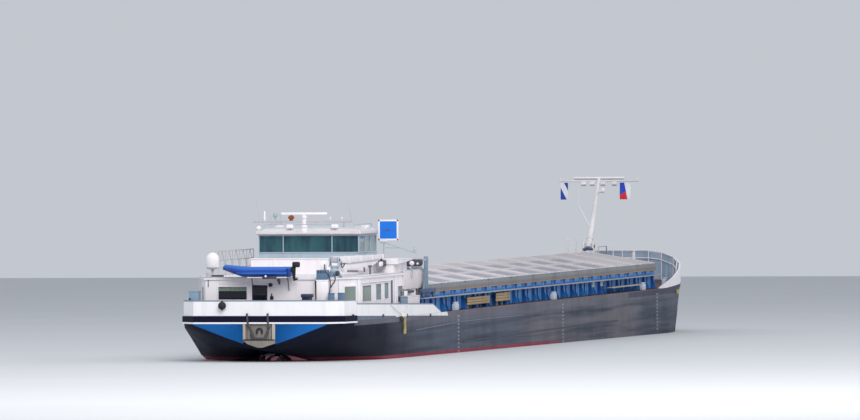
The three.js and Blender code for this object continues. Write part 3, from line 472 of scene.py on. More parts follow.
# Stern band: navy over a thin white line.
def makeBandMaterial():
    tree, shader, place = startMaterial("bandPaint")
    low = spanOf(tree, axes(tree, place)[2], 0.0, hullLook["navyZ"][0])
    colour = mixColour(tree, low, linear(*hullLook["navy"]), linear(*hullLook["white"]))
    dirt = mixColour(tree, low, linear(28, 26, 48), linear(180, 176, 178))
    addWeather(tree, shader, place, colour, {"dirt": dirt, "streaks": 0.15, "blotches": 0.12, "rust": 0.02,
                                            "roughness": 0.5, "specular": 0.12})


# Coaming: two blues in clouds, with painted light in the middle of each bay, and a rusty edge on the crane's
# rail.
coamingLook = {
    "deep": (26, 96, 172), "blue": (44, 124, 196), "light": (112, 166, 214), "edge": (168, 158, 146),
    "bayX": 1.69, "quarterBay": 0.06, "litBand": (0.025, 0.05, 0.015), "edgeZ": (0.3945, 0.402),
    "edgeY": (0.4485, 1.0)}


def makeCoamingMaterial():
    tree, shader, place = startMaterial("coamingPaint")
    look, part = coamingLook, axes(tree, place)
    edge = product(tree, spanOf(tree, part[2], *look["edgeZ"]),
                   spanOf(tree, maths(tree, "ABSOLUTE", part[1]), *look["edgeY"]))
    broad = noise(tree, place, 5.0, 3.0)
    blue = mixColour(tree, mapRange(tree, broad, 0.38, 0.62), linear(*look["deep"]), linear(*look["blue"]))
    bay = maths(tree, "PINGPONG", maths(tree, "SUBTRACT", part[0], sternX + look["bayX"]), look["quarterBay"])
    # Lighter blue stripes along each bay are painted light, as on lit brackets between shadows.
    litBand = product(tree, spanOf(tree, bay, *look["litBand"]), mapRange(tree, broad, 0.3, 0.6, 0.2, 0.9))
    blue = mixColour(tree, litBand, blue, linear(*look["light"]))
    colour = mixColour(tree, edge, blue, linear(*look["edge"]))
    addWeather(tree, shader, place, colour, {"dirt": (20, 62, 126), "streaks": 0.35, "blotches": 0.3,
                                            "rust": 0.08, "roughness": 0.45})


# Hatch covers: pale galvanised plate, grey-blue recessed panels, and a grey skirt with a brown lower edge.
coverLook = {
    "coverPlate": ((200, 196, 200), (150, 140, 136)), "coverPanel": ((162, 162, 176), (110, 110, 124)),
    "coverStrip": ((220, 216, 217), (170, 160, 150)), "skirt": (130, 136, 142), "skirtLow": (126, 115, 110),
    "skirtEdge": (170, 134, 96), "lowZ": (0.0, 0.4345, 0.008), "edgeZ": (0.0, 0.4262, 0.0015),
    "waver": -0.016}


def makeCoverMaterials():
    look = coverLook
    for name in ("coverPlate", "coverPanel", "coverStrip"):
        tree, shader, place = startMaterial(name)
        colour, dirt = look[name]
        cloud = mapRange(tree, noise(tree, place, 0.9, 3.0), 0.35, 0.65)
        colour = mixColour(tree, cloud, linear(*colour), darker(linear(*colour), 0.84))
        addWeather(tree, shader, place, colour, {"dirt": dirt, "streaks": 0.12, "blotches": 0.3, "rust": 0.04,
                                                "roughness": 0.5, "specular": 0.25})
    tree, shader, place = startMaterial("coverSkirt")
    z = axes(tree, place)[2]
    height = maths(tree, "ADD", z, product(tree, noise(tree, place, 2.2, 3.0), look["waver"]))
    colour = mixColour(tree, spanOf(tree, height, *look["lowZ"]), linear(*look["skirt"]),
                       linear(*look["skirtLow"]))
    colour = mixColour(tree, spanOf(tree, z, *look["edgeZ"]), colour, linear(*look["skirtEdge"]))
    addWeather(tree, shader, place, colour,
               {"dirt": (96, 90, 88), "streaks": 0.4, "blotches": 0.3, "rust": 0.2,
                                            "roughness": 0.5})


makeHullMaterial()
makeBowPlatingMaterial()
makeBulwarkMaterial()
makeBandMaterial()
makeCoamingMaterial()
makeCoverMaterials()
print("materials made,", len(made))


# Mesh helpers. Spans are (low, high) in metres of the real barge, and tone is the paint's place in the list.
def facesOf(verts):
    return list({face for vert in verts for face in vert.link_faces})


def paintFaces(faces, tone):
    for face in faces:
        if face.is_valid:
            face.material_index = tone
    return faces


def roundEdges(bm, verts, bevel, segments=2):
    edges = list({edge for vert in verts for edge in vert.link_edges})
    return bmesh.ops.bevel(bm, geom=edges, offset=bevel * scale, segments=segments, profile=0.5,
                           affect="EDGES",
                           material=-1)["verts"]


def addBox(bm, s, y, z, bevel=0.0, tone=0, segments=2):
    low, high = at(s[0], y[0], z[0]), at(s[1], y[1], z[1])
    verts = bmesh.ops.create_cube(bm, size=1)["verts"]
    bmesh.ops.scale(bm, vec=high - low, verts=verts)
    bmesh.ops.translate(bm, vec=(low + high) / 2, verts=verts)
    if bevel:
        verts = roundEdges(bm, verts, bevel, segments)
    return paintFaces(facesOf(verts), tone)


def addBoxes(bm, boxes):
    for box in boxes:
        addBox(bm, *box)


def across(side, inner, outer):
    return sorted((side * inner, side * outer))


# The same box on both sides, its span y measured out from the middle.
def addPair(bm, s, y, z, bevel=0.0, tone=0):
    for side in bothSides:
        addBox(bm, s, across(side, *y), z, bevel, tone)


# A box that reaches half as far each way from (s, y) as wide and deep say.
def addPost(bm, s, y, halfS, halfY, z, bevel=0.0, tone=0):
    return addBox(bm, (s - halfS, s + halfS), (y - halfY, y + halfY), z, bevel, tone)


# Four bars round an opening, the upright ones over the full height.
def barsRound(wide, high, thick):
    (a0, a1), (b0, b1) = wide, high
    tall = (b0 - thick, b1 + thick)
    return (((a0 - thick, a0), tall), ((a1, a1 + thick), tall), (wide, (b0 - thick, b0)),
            (wide, (b1, b1 + thick)))


def upright(axis):
    return Vector((0, 0, 1)).rotation_difference(Vector(axis)).to_matrix().to_4x4()


def addRod(bm, start, end, radius, sides=12, endRadius=None, tone=0):
    low, high = at(*start), at(*end)
    last = radius if endRadius is None else endRadius
    verts = bmesh.ops.create_cone(bm, cap_ends=True, segments=sides, radius1=radius * scale,
                                  radius2=last * scale,
                                  depth=(high - low).length)["verts"]
    bmesh.ops.transform(bm, matrix=Matrix.Translation((low + high) / 2) @ upright(high - low), verts=verts)
    return paintFaces(facesOf(verts), tone)


def addBall(bm, centre, radius, rings=10):
    verts = bmesh.ops.create_uvsphere(bm, u_segments=rings * 2, v_segments=rings,
                                      radius=radius * scale)["verts"]
    bmesh.ops.translate(bm, vec=at(*centre), verts=verts)


# A flat outline, given as (s, y, z) points, thickened by a move in real metres.
def addPlate(bm, outline, move, bevel=0.0, tone=0):
    face = bm.faces.new([bm.verts.new(at(*point)) for point in outline])
    grown = bmesh.ops.extrude_face_region(bm, geom=[face])["geom"]
    moved = [part for part in grown if isinstance(part, bmesh.types.BMVert)]
    bmesh.ops.translate(bm, vec=Vector(move) * scale, verts=moved)
    verts = list(face.verts) + moved
    if bevel:
        verts = roundEdges(bm, verts, bevel)
    return paintFaces(facesOf(verts), tone)


# Outlines that lie across the barge at s, along it at y, or flat at z.
def crosswise(s, points):
    return [(s, y, z) for y, z in points]


def lengthwise(y, points):
    return [(s, y, z) for s, z in points]


def flatwise(z, points):
    return [(s, y, z) for s, y in points]


# A plate along the barge, reaching half as far each way from y as it is thick.
def addSlab(bm, y, half, outline, bevel=0.0, tone=0):
    addPlate(bm, lengthwise(y - half, outline), (0, 2 * half, 0), bevel, tone)


# A (radius, height) profile spun about an upright axis, or about another axis through its foot.
def addTurned(bm, profile, centre, sides=24, axis=(0, 0, 1), tone=0):
    there = set(bm.verts)
    verts = [bm.verts.new((radius * scale, 0, height * scale)) for radius, height in profile]
    edges = [bm.edges.new(pair) for pair in zip(verts, verts[1:])]
    bmesh.ops.spin(bm, geom=verts + edges, cent=(0, 0, 0), axis=(0, 0, 1), angle=math.tau, steps=sides,
                   use_merge=True)
    bmesh.ops.remove_doubles(bm, verts=[vert for vert in bm.verts if vert not in there], dist=1e-6)
    around = [vert for vert in bm.verts if vert not in there]
    bmesh.ops.transform(bm, matrix=Matrix.Translation(at(*centre)) @ upright(axis), verts=around)
    return paintFaces(facesOf(around), tone)


def placePiece(name, data, body, materials, stands):
    for key in materials:
        data.materials.append(made[key])
    piece = bpy.data.objects.new(name, data)
    bpy.context.scene.collection.objects.link(piece)
    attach(piece, body)
    if stands:
        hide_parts(*stands)
    return piece


def makePiece(name, bm, body, materials, stands=(), smooth=35, outward=True):
    if outward:
        bmesh.ops.recalc_face_normals(bm, faces=bm.faces)
    mesh = bpy.data.meshes.new(name)
    bm.to_mesh(mesh)
    bm.free()
    mesh.polygons.foreach_set("use_smooth", [True] * len(mesh.polygons))
    mesh.set_sharp_from_angle(angle=math.radians(smooth))
    return placePiece(name, mesh, body, materials, stands)


# A piece that is all boxes, from its settings.
def makeBoxes(name, look, body="barge"):
    bm = bmesh.new()
    addBoxes(bm, look["boxes"])
    makePiece(name, bm, body, look["paints"], stands=look.get("stands", ()))


# Tubes, such as rails and hoses, as one curve object with a stretch for each path.
def makeTubes(name, paths, radius, body, material, stands=(), sides=3, curved=False):
    curve = bpy.data.curves.new(name, "CURVE")
    curve.dimensions = "3D"
    curve.bevel_depth = radius * scale
    curve.bevel_resolution = sides
    curve.use_fill_caps = True
    curve.resolution_u = 6
    for path in paths:
        stretch = curve.splines.new("BEZIER" if curved else "POLY")
        points = stretch.bezier_points if curved else stretch.points
        points.add(len(path) - 1)
        for point, place in zip(points, path):
            if curved:
                point.co = at(*place)
                point.handle_left_type = point.handle_right_type = "AUTO"
            else:
                point.co = (*at(*place), 1.0)
    return placePiece(name, curve, body, [material], stands)


def copyNode(node):
    bm = bmesh.new()
    bm.from_mesh(nodes[node].data)
    bmesh.ops.remove_doubles(bm, verts=bm.verts, dist=1e-6)
    bmesh.ops.dissolve_limit(bm, angle_limit=math.radians(0.5), verts=bm.verts, edges=bm.edges)
    return bm


# A node's own box, as spans in real metres.
def boxOf(node):
    low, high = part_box(node)
    return (((low.x - sternX) / scale, (high.x - sternX) / scale), (low.y / scale, high.y / scale),
            (low.z / scale, high.z / scale))


dressing = {
    "aft_house": "whitePaint", "wheelhouse_base": "whitePaint", "wheelhouse": "sillPaint",
    "hold_coaming": "coamingPaint", "bulwark_stern": "bulwarkPaint", "bulwark_bow": "bowPlatingPaint",
    "rub_band_stern": "bandPaint"}


def dressNodes():
    for node, material in dressing.items():
        mesh = nodes[node].data
        mesh.materials.clear()
        mesh.materials.append(made[material])


dressNodes()

# Floor at the waterline, lowered a little to the bow as she trims, and open inside the hull.
floor = {
    "size": 60.0, "aftZ": 1.2, "foreZ": 0.5, "foreS": 86.0, "middleS": 43.0, "inside": 0.2,
    "edge": ((3.6, 0.0), (4.2, 1.0), (5.5, 2.6), (7.5, 3.9), (10.0, 4.5), (74.5, 4.6), (77.5, 3.9), (80.0,
        3.0), (81.6, 1.9), (82.4, 0.9), (82.7, 0.0)),
    "dark": (196, 200, 204), "light": (204, 207, 210)}


def makeFloor():
    slope = (floor["foreZ"] - floor["aftZ"]) / floor["foreS"]
    half = floor["size"] / scale / 2
    inner = [(s, y - floor["inside"] if y else 0.0) for s, y in floor["edge"]]
    hole = inner + [(s, -y) for s, y in reversed(inner[1:-1])]
    corners = [(floor["middleS"] + a * half, b * half) for a, b in ((-1, -1), (1, -1), (1, 1), (-1, 1))]
    bm = bmesh.new()
    edges = []
    for loop in (hole, corners):
        verts = [bm.verts.new(at(s, y, floor["aftZ"] + slope * s)) for s, y in loop]
        edges += [bm.edges.new(pair) for pair in zip(verts, verts[1:] + verts[:1])]
    bmesh.ops.triangle_fill(bm, use_beauty=True, use_dissolve=False, edges=edges, normal=(0, 0, 1))
    bmesh.ops.recalc_face_normals(bm, faces=bm.faces)
    if bm.faces[0].normal.z < 0:
        bmesh.ops.reverse_faces(bm, faces=bm.faces)
    mesh = bpy.data.meshes.new("floor")
    bm.to_mesh(mesh)
    bm.free()
    piece = bpy.data.objects.new("floor", mesh)
    bpy.context.scene.collection.objects.link(piece)
    tree, shader, place = startMaterial("floorGrey")
    cloud = noise(tree, place, 0.6, 3.0)
    tree.links.new(mixColour(tree, cloud, linear(*floor["dark"]), linear(*floor["light"])),
                   shader.inputs["Base Color"])
    shader.inputs["Roughness"].default_value = 0.75
    mesh.materials.append(made["floorGrey"])


makeFloor()

# Soft, even daylight: a bright sky and three broad lamps, the strongest one from astern to starboard.
lights = {
    "sky": (0.88, 0.92, 1.0), "skyStrength": 0.62, "aim": (0, 0, 0.4),
    "lamps": (("sternLamp", (-13.0, -4.5, 8.0), 7.0, 1250.0, (1.0, 0.97, 0.94)), ("sideLamp", (3.0, -13.0,
        9.0), 9.0, 620.0, (1.0, 0.97, 0.94)), ("portLamp", (-2.0, 12.0, 8.0), 8.0, 260.0, (0.92, 0.96, 1.0)))}


def makeLights():
    world = bpy.data.worlds.new("sky")
    world.use_nodes = True
    sky = world.node_tree.nodes["Background"]
    sky.inputs["Color"].default_value = (*lights["sky"], 1.0)
    sky.inputs["Strength"].default_value = lights["skyStrength"]
    bpy.context.scene.world = world
    for name, place, size, power, colour in lights["lamps"]:
        data = bpy.data.lights.new(name, "AREA")
        data.size = size
        data.energy = power
        data.color = colour
        lamp = bpy.data.objects.new(name, data)
        lamp.location = place
        lamp.rotation_mode = "QUATERNION"
        lamp.rotation_quaternion = (Vector(lights["aim"]) - Vector(place)).to_track_quat("-Z", "Y")
        bpy.context.scene.collection.objects.link(lamp)


makeLights()
bpy.context.scene.view_settings.view_transform = "Standard"
print("floor and lights placed")

# Hull, with an upper and a lower rub rail along each side.
hull = {
    "smooth": 50, "side": 4.752,
    "rails": (("upperRubRail", ((13.3, 2.43), (23.2, 2.6), (37.7, 2.57)), 0.035, "railLine"), ("lowerRubRail",
        ((23.8, 1.55), (47.0, 1.64), (62.0, 1.66)), 0.04, "railShade"))}


def makeHull():
    makePiece("hullShell", copyNode("hull"), "barge", ["hullPaint"], stands=["hull"],
              smooth=hull["smooth"], outward=False)
    for name, path, radius, material in hull["rails"]:
        paths = [lengthwise(side * hull["side"], path) for side in bothSides]
        makeTubes(name, paths, radius, "barge", material, sides=2)


makeHull()
print("hull done")

# Hatch covers: gabled plate with recessed panels, a strip over each joint and lifting lugs.
cover = {
    "count": 11, "firstS": 16.12, "pitch": 5.4, "gap": 0.05, "half": 4.15, "edgeZ": 4.65, "ridgeZ": 5.34,
    "skirtZ": 4.22, "skirtGap": 0.02, "plate": 0.02, "skirt": 0.06, "strip": 0.16, "stripRise": 0.045,
    "stripDeep": 0.06, "rows": ((1.0, 2.1), (2.35, 3.75)), "panel": (0.9, 4.6), "recess": 0.035, "rim": 0.03,
    "plainForward": 2, "lugIn": 1.2, "lug": (0.09, 0.1, -0.06, 0.05), "lugBevel": 0.02}


def makeCover(index):
    s0 = cover["firstS"] + index * cover["pitch"]
    s1 = s0 + cover["pitch"] - cover["gap"]
    half, edgeZ, ridge = cover["half"], cover["edgeZ"], cover["ridgeZ"]
    slope = (ridge - edgeZ) / half
    plain = index == 0 or index >= cover["count"] - cover["plainForward"]
    stations = [s0, s0 + cover["panel"][0], s0 + cover["panel"][1], s1]
    lines = sorted({0.0, half, *cover["rows"][0], *cover["rows"][1]})
    lines = [-y for y in reversed(lines[1:])] + lines
    bm = bmesh.new()
    bmesh.ops.create_grid(bm, x_segments=len(stations) - 1, y_segments=len(lines) - 1, size=0.5)
    order = sorted(bm.verts, key=lambda v: (round(v.co.x, 4), round(v.co.y, 4)))
    for i, vert in enumerate(order):
        s, y = stations[i // len(lines)], lines[i % len(lines)]
        vert.co = at(s, y, ridge - slope * abs(y) - cover["stripRise"])
    panels = []
    for face in bm.faces:
        centre = face.calc_center_median()
        s, y = (centre.x - sternX) / scale - s0, abs(centre.y) / scale
        inRow = any(low < y < high for low, high in cover["rows"])
        if cover["panel"][0] < s < cover["panel"][1] and inRow and not plain:
            panels.append(face)
    bmesh.ops.inset_individual(bm, faces=panels, thickness=cover["rim"] * scale,
                               depth=-cover["recess"] * scale,
                               use_even_offset=True)
    paintFaces(panels, 1)
    bmesh.ops.solidify(bm, geom=list(bm.faces), thickness=cover["plate"] * scale)
    addPair(bm, (s0, s1), (half - cover["skirt"], half), (cover["skirtZ"], edgeZ - cover["skirtGap"]), 0, 3)
    halfLug, lugDeep, lugLow, lugHigh = cover["lug"]
    for low, high in ((s0, s0 + cover["strip"]), (s1 - cover["strip"], s1)):
        for outer in (half, -half):
            strip = ((0, ridge), (outer, edgeZ), (outer, edgeZ - cover["stripDeep"]),
                     (0, ridge - cover["stripDeep"]))
            addPlate(bm, crosswise(low, strip), (high - low, 0, 0), tone=2)
    for station in (s0 + cover["lugIn"], s1 - cover["lugIn"]):
        addPair(bm, (station - halfLug, station + halfLug), (half - lugDeep, half),
                (edgeZ + lugLow, edgeZ + lugHigh), cover["lugBevel"], 2)
    body = "hatch_cover_%02d" % (index + 1)
    makePiece("coverPlate%02d" % (index + 1), bm, body,
              ["coverPlate", "coverPanel", "coverStrip", "coverSkirt"], stands=[body])


for index in range(cover["count"]):
    makeCover(index)
print("hatch covers done")

# Bollards on the side decks: painted casings, each with two round heads.
bollards = {
    "stations": ((22.9, 4.56), (46.3, 4.56), (69.8, 4.56), (78.6, 4.0), (4.6, 4.27)), "half": (0.36, 0.11),
    "top": 0.34, "heads": (-0.19, 0.19),
    "cap": ((0, 0.24), (0.1, 0.24), (0.1, 0.38), (0.118, 0.4), (0.118, 0.43), (0.09, 0.44), (0, 0.44))}


def makeBollards():
    bm = bmesh.new()
    for s, y in bollards["stations"]:
        z = sheerZ(s)
        for side in bothSides:
            addPost(bm, s, side * y, *bollards["half"], (z, z + bollards["top"]), 0.03)
            for shift in bollards["heads"]:
                addTurned(bm, bollards["cap"], (s + shift, side * y, z), 16)
    makePiece("bollards", bm, "barge", ["bollardPaint"])


# Coaming: bracket boxes over the crane's rail in each bay, in a lighter blue as painted light, short feet
# below and the rail's edge.
coaming = {
    "aftS": 16.9, "pitch": 2.4, "count": 24, "box": (0.75, 1.85), "boxY": (4.04, 4.13),
    "boxZ": (4.005, 4.245), "footS": 1.17,
    "foot": ((4.04, 3.21), (4.22, 3.21), (4.1, 3.5), (4.1, 3.92), (4.04, 3.92)), "footThick": 0.05,
    "railS": (16.2, 75.4), "railY": (4.46, 4.512), "railZ": (3.95, 4.004)}


def makeCoamingTrim():
    bm = bmesh.new()
    for i in range(coaming["count"]):
        s = coaming["aftS"] + i * coaming["pitch"]
        addPair(bm, [s + end for end in coaming["box"]], coaming["boxY"], coaming["boxZ"], 0.012, 1)
        for side in bothSides:
            foot = crosswise(s + coaming["footS"], [(side * y, z) for y, z in coaming["foot"]])
            addPlate(bm, foot, (coaming["footThick"], 0, 0))
    addPair(bm, coaming["railS"], coaming["railY"], coaming["railZ"])
    makePiece("coamingStiffeners", bm, "barge", ["coamingPaint", "coamingLitBlue"])


# Gangway boards that lean on the coaming, painted boxes, and a light ladder forward.
sideGear = {
    "boards": ((26.55, 31.75, 3.37, 3.78), (33.3, 36.6, 3.4, 3.86)), "planks": 3, "plankGap": 0.008,
    "boardY": (-4.35, -4.3), "battenY": (-4.3, -4.22), "battenZ": 3.2, "battenIn": 0.4,
    "boxes": ((57.9, 58.5), (60.1, 60.7)), "boxY": (-4.2, -4.12), "boxZ": (3.62, 3.9),
    "ladder": ((61.2, 3.52), (68.8, 3.53)), "ladderY": (-4.66, -4.36), "rungs": 18,
    "feet": (62.4, 65.0, 67.6)}


def makeSideGear():
    bm = bmesh.new()
    for s0, s1, low, high in sideGear["boards"]:
        depth = (high - low) / sideGear["planks"]
        for i in range(sideGear["planks"]):
            z = low + i * depth
            addBox(bm, (s0, s1), sideGear["boardY"],
                   (z + sideGear["plankGap"], z + depth - sideGear["plankGap"]),
                   0.01)
        for s in (s0 + sideGear["battenIn"], (s0 + s1) / 2, s1 - sideGear["battenIn"]):
            addBox(bm, (s - 0.04, s + 0.04), sideGear["battenY"], (sideGear["battenZ"], high - 0.04), 0.01)
    makePiece("gangwayBoards", bm, "barge", ["board"])
    bm = bmesh.new()
    (y0, y1), (z0, z1) = sideGear["boxY"], sideGear["boxZ"]
    for s0, s1 in sideGear["boxes"]:
        addBox(bm, (s0, s1), (y0, y1 + 0.02), (z0, z1), 0.03)
        addBox(bm, (s0 - 0.02, s1 + 0.02), (y0 - 0.02, y1), (z1 - 0.04, z1 + 0.02), 0.015)
        addBox(bm, (s0 + 0.2, s1 - 0.2), (y0 - 0.015, y0 + 0.01), (z1 - 0.14, z1 - 0.08), 0.006)
    makePiece("sideBoxes", bm, "barge", ["bollardPaint"])
    (lowS, lowZ), (highS, highZ) = sideGear["ladder"]
    y0, y1 = sideGear["ladderY"]
    paths = [lengthwise(y, sideGear["ladder"]) for y in (y0, y1)]
    for i in range(sideGear["rungs"]):
        t = (i + 0.5) / sideGear["rungs"]
        paths.append(crosswise(lowS + (highS - lowS) * t, [(y, lowZ + (highZ - lowZ) * t) for y in (y0, y1)]))
    makeTubes("sideLadder", paths, 0.035, "barge", "ladderPaint", sides=1)
    feet = [[(s, y, barge["deckZ"]), (s, y, lowZ)] for s in sideGear["feet"] for y in (y0 + 0.05, y1 - 0.05)]
    makeTubes("ladderFeet", feet, 0.03, "barge", "darkRope", sides=1)


makeBollards()
makeCoamingTrim()
makeSideGear()
print("side decks done")

# Half the deck's width along the barge.
deckEdge = ((0.0, 3.4), (0.8, 4.1), (3.0, 4.45), (4.5, 4.55), (6.0, 4.65), (9.0, 4.75), (77.0, 4.75),
            (80.0, 4.6),
            (82.0, 4.25), (83.5, 3.72), (85.0, 2.7), (86.0, 1.2))

# Stern plating: rounded cap rail, fairleads in two posts and a bar, and the webs inside.
plating = {
    "cap": 0.035, "lift": 0.03, "inboard": 0.03,
    "rows": ((0.05, 4.2), (0.8, 4.195), (2.18, 4.17), (2.45, 3.985), (4.0, 3.95), (6.0, 3.902), (9.0, 3.83),
        (17.1, 3.635), (18.8, 3.235)),
    "fairleads": (1.9, 6.56, 11.33, 16.42), "fairleadLine": (3.4, -0.0235), "fairleadHalf": 0.11,
    "webs": (1.2, 3.4, 5.4, 7.4, 9.4, 11.4, 13.4, 15.4), "webFoot": 3.22, "webThick": 0.05,
    "sternWebs": (-2.9, -1.7, -0.5, 0.7, 1.2, 2.6),
    "sternWeb": ((0.1, 3.22), (0.36, 3.22), (0.18, 4.05), (0.1, 4.13))}


def makeSternTrim():
    rows, lift = plating["rows"], plating["lift"]
    paths = [[(0.03, 0.0, rows[0][1] + lift)]
             + [(s, side * (alongRows(deckEdge, s) - plating["inboard"]), z + lift) for s, z in rows]
             for side in bothSides]
    # The cap rail's grey blue is painted shade along the top of the plating.
    makeTubes("sternCapRail", paths, plating["cap"], "barge", "capRailShade", sides=2)
    bm = bmesh.new()
    base, slope = plating["fairleadLine"]
    for s in plating["fairleads"]:
        y, z = alongRows(deckEdge, s), base + slope * s
        for ds in (-plating["fairleadHalf"], plating["fairleadHalf"]):
            addPair(bm, (s + ds - 0.03, s + ds + 0.03), (y - 0.02, y + 0.03), (z, z + 0.15), 0.015)
        addPair(bm, (s - 0.14, s + 0.14), (y - 0.02, y + 0.03), (z + 0.11, z + 0.16), 0.015)
    makePiece("sternFairleads", bm, "barge", ["darkRope"])
    bm = bmesh.new()
    foot, thick = plating["webFoot"], plating["webThick"]
    for s in plating["webs"]:
        top, outer = alongRows(rows, s), alongRows(deckEdge, s) - 0.1
        for side in bothSides:
            web = ((outer, foot), (outer - 0.26, foot), (outer - 0.08, top - 0.1), (outer, top - 0.04))
            addPlate(bm, crosswise(s, [(side * y, z) for y, z in web]), (thick, 0, 0))
    for y in plating["sternWebs"]:
        addPlate(bm, lengthwise(y, plating["sternWeb"]), (0, thick, 0))
    makePiece("sternWebs", bm, "barge", ["whitePaint"])


makeSternTrim()

# Transom: anchor pocket with a coaming, a shelf and a plate that ends in a point below it.
pocket = {
    "slot": "hull_paint", "paints": ["pocketPaint", "pocketShade", "blackPlastic"],
    "boxes": (((-0.03, 0.3), (-0.78, -0.62), (2.32, 3.12), 0.012), ((-0.03, 0.3), (0.74, 0.87), (2.32, 3.12),
        0.012), ((0.1, 0.15), (-0.75, 0.84), (2.32, 3.11), 0, 1), ((0.02, 0.12), (-0.55, -0.45), (2.32, 3.11),
        0.012, 1), ((0.02, 0.12), (0.51, 0.61), (2.32, 3.11), 0.012, 1), ((-0.04, 0.3), (-0.76, 0.85), (2.27,
        2.33), 0.012, 2)),
    "plateS": -0.02, "plateThick": 0.03,
    "plate": ((-0.78, 2.29), (0.87, 2.29), (0.65, 2.1), (0.11, 1.92), (-0.13, 1.92), (-0.78, 2.13))}

# Stern anchor with two flukes, its shackle and the chains down to it.
anchor = {
    "s": 0.04, "y": 0.04, "z": 2.42, "crown": (-0.06, 0.05, 0.34, 0.1),
    "fluke": ((0.2, -0.06), (0.36, -0.06), (0.6, 0.6), (0.44, 0.5)), "arch": (0.035, 2.735),
    "archRadius": 0.13, "archSteps": 10,
    "chains": (((-0.075, 0.64, 3.62), (-0.075, 0.62, 3.4), (-0.07, 0.6, 3.15), (-0.04, 0.56, 2.95)), ((-0.075,
        -0.42, 3.62), (-0.075, -0.42, 3.4), (-0.07, -0.43, 3.1), (-0.04, -0.45, 2.9)))}


def makeTransom():
    bm = bmesh.new()
    # The back board, its posts and the pointed plate take pocketShade, a darker copy of the pocket paint:
    # painted shade.
    addBoxes(bm, pocket["boxes"])
    addPlate(bm, crosswise(pocket["plateS"], pocket["plate"]), (pocket["plateThick"], 0, 0), tone=1)
    makePiece("anchorPocketFrame", bm, "barge", pocket["paints"])
    bm = bmesh.new()
    s, y, z = anchor["s"], anchor["y"], anchor["z"]
    aft, fore, half, deep = anchor["crown"]
    addBox(bm, (s + aft, s + fore), (y - half, y + half), (z - deep, z), 0.03)
    for side in bothSides:
        fluke = crosswise(s - 0.05, [(y + side * out, z + up) for out, up in anchor["fluke"]])
        addPlate(bm, fluke, (0.08, 0, 0), 0.015)
    makePiece("sternAnchor", bm, "barge", ["anchorSteel"], stands=["stern_anchor"])
    (archY, archZ), radius, steps = anchor["arch"], anchor["archRadius"], anchor["archSteps"]
    turns = [math.pi * i / steps for i in range(steps + 1)]
    arch = [(archY - radius, archZ - radius)]
    arch += [(archY - radius * math.cos(a), archZ + radius * math.sin(a)) for a in turns]
    arch.append((archY + radius, archZ - radius))
    makeTubes("sternAnchorShackle", [crosswise(s, arch)], 0.045, "barge", "navyPaint", sides=2)
    makeTubes("sternAnchorChains", anchor["chains"], 0.05, "barge", "anchorSteel", sides=2)


makeTransom()
print("stern plating done")

# Aft house: glazed windows in raised frames, roof edge, dark door, lamps and pipes.
house = {
    "side": 4.1, "windowHeight": 0.78, "frame": 0.05, "lap": 0.05, "proud": 0.014, "glassY": (4.09, 4.106),
    "frameShadowY": (4.09, 4.109), "blueFrom": 7.0,
    "windows": ((4.62, 6.3, 4.08), (7.48, 8.41, 4.1), (9.26, 9.98, 4.12), (12.13, 12.99, 3.9)),
    "corner": ((2.97, 3.656), (3.77, 3.945)), "cornerSill": 4.08, "cornerFrame": 0.07,
    "aftWindow": ((1.15, 2.6), (4.25, 4.88)), "aftFrame": 0.07, "aftFrameS": (1.865, 1.92),
    "aftGlassS": (1.94, 1.96), "blindS": (1.92, 1.97), "slats": 4, "slatPitch": 0.05, "slat": 0.042,
    "blindDeep": 0.2}


def makeHouseWindows():
    frames, glass = bmesh.new(), bmesh.new()
    lap = house["lap"]
    for s0, s1, sill in house["windows"]:
        high = (sill, sill + house["windowHeight"])
        wide = (s0 - lap, s1 + lap)
        for s, z in barsRound(wide, high, house["frame"]):
            addPair(frames, s, (house["side"] - 0.01, house["side"] + house["proud"]), z, 0.015)
        addPair(glass, wide, house["glassY"], high, 0, 2 if s0 > house["blueFrom"] else 0)
        # Grey strips along the top and forward edge of each pane are painted shadow from the frame.
        addPair(glass, wide, house["frameShadowY"], (high[1] - 0.06, high[1]), 0, 1)
        addPair(glass, (wide[1] - 0.07, wide[1]), house["frameShadowY"], high, 0, 1)
    (sa, ya), (sb, yb) = house["corner"]
    za = house["cornerSill"]
    zb = za + house["windowHeight"]
    thick = house["cornerFrame"]
    for side in bothSides:
        for z0, z1 in ((za - thick, za), (zb, zb + thick)):
            bar = [(sa, side * ya, z0), (sb, side * yb, z0), (sb, side * yb, z1), (sa, side * ya, z1)]
            addPlate(frames, bar, (-0.01, side * 0.035, 0))
        aft, fore = (sa - 0.1, side * (ya - 0.03)), (sb + 0.02, side * (yb + 0.008))
        addPlate(glass, [(*aft, za), (*fore, za), (*fore, zb), (*aft, zb)], (0.02, -side * 0.02, 0))
    y, z = house["aftWindow"]
    for ys, zs in barsRound(y, z, house["aftFrame"]):
        addBox(frames, house["aftFrameS"], ys, zs, 0.012)
    makePiece("houseWindowFrames", frames, "barge", ["whitePaint"])
    makePiece("houseWindowGlass", glass, "barge",
              ["cabinGlass", "pipeGrey", "cabinGlassBlue"])
    glass, blind = bmesh.new(), bmesh.new()
    addBox(glass, house["aftGlassS"], y, (z[0], z[1] - 0.18))
    makePiece("houseAftGlass", glass, "barge", ["darkGlass"])
    for i in range(house["slats"]):
        low = z[1] - house["blindDeep"] + i * house["slatPitch"]
        addBox(blind, house["blindS"], y, (low, low + house["slat"]), 0.008)
    makePiece("houseBlind", blind, "barge", ["greenBlind"])


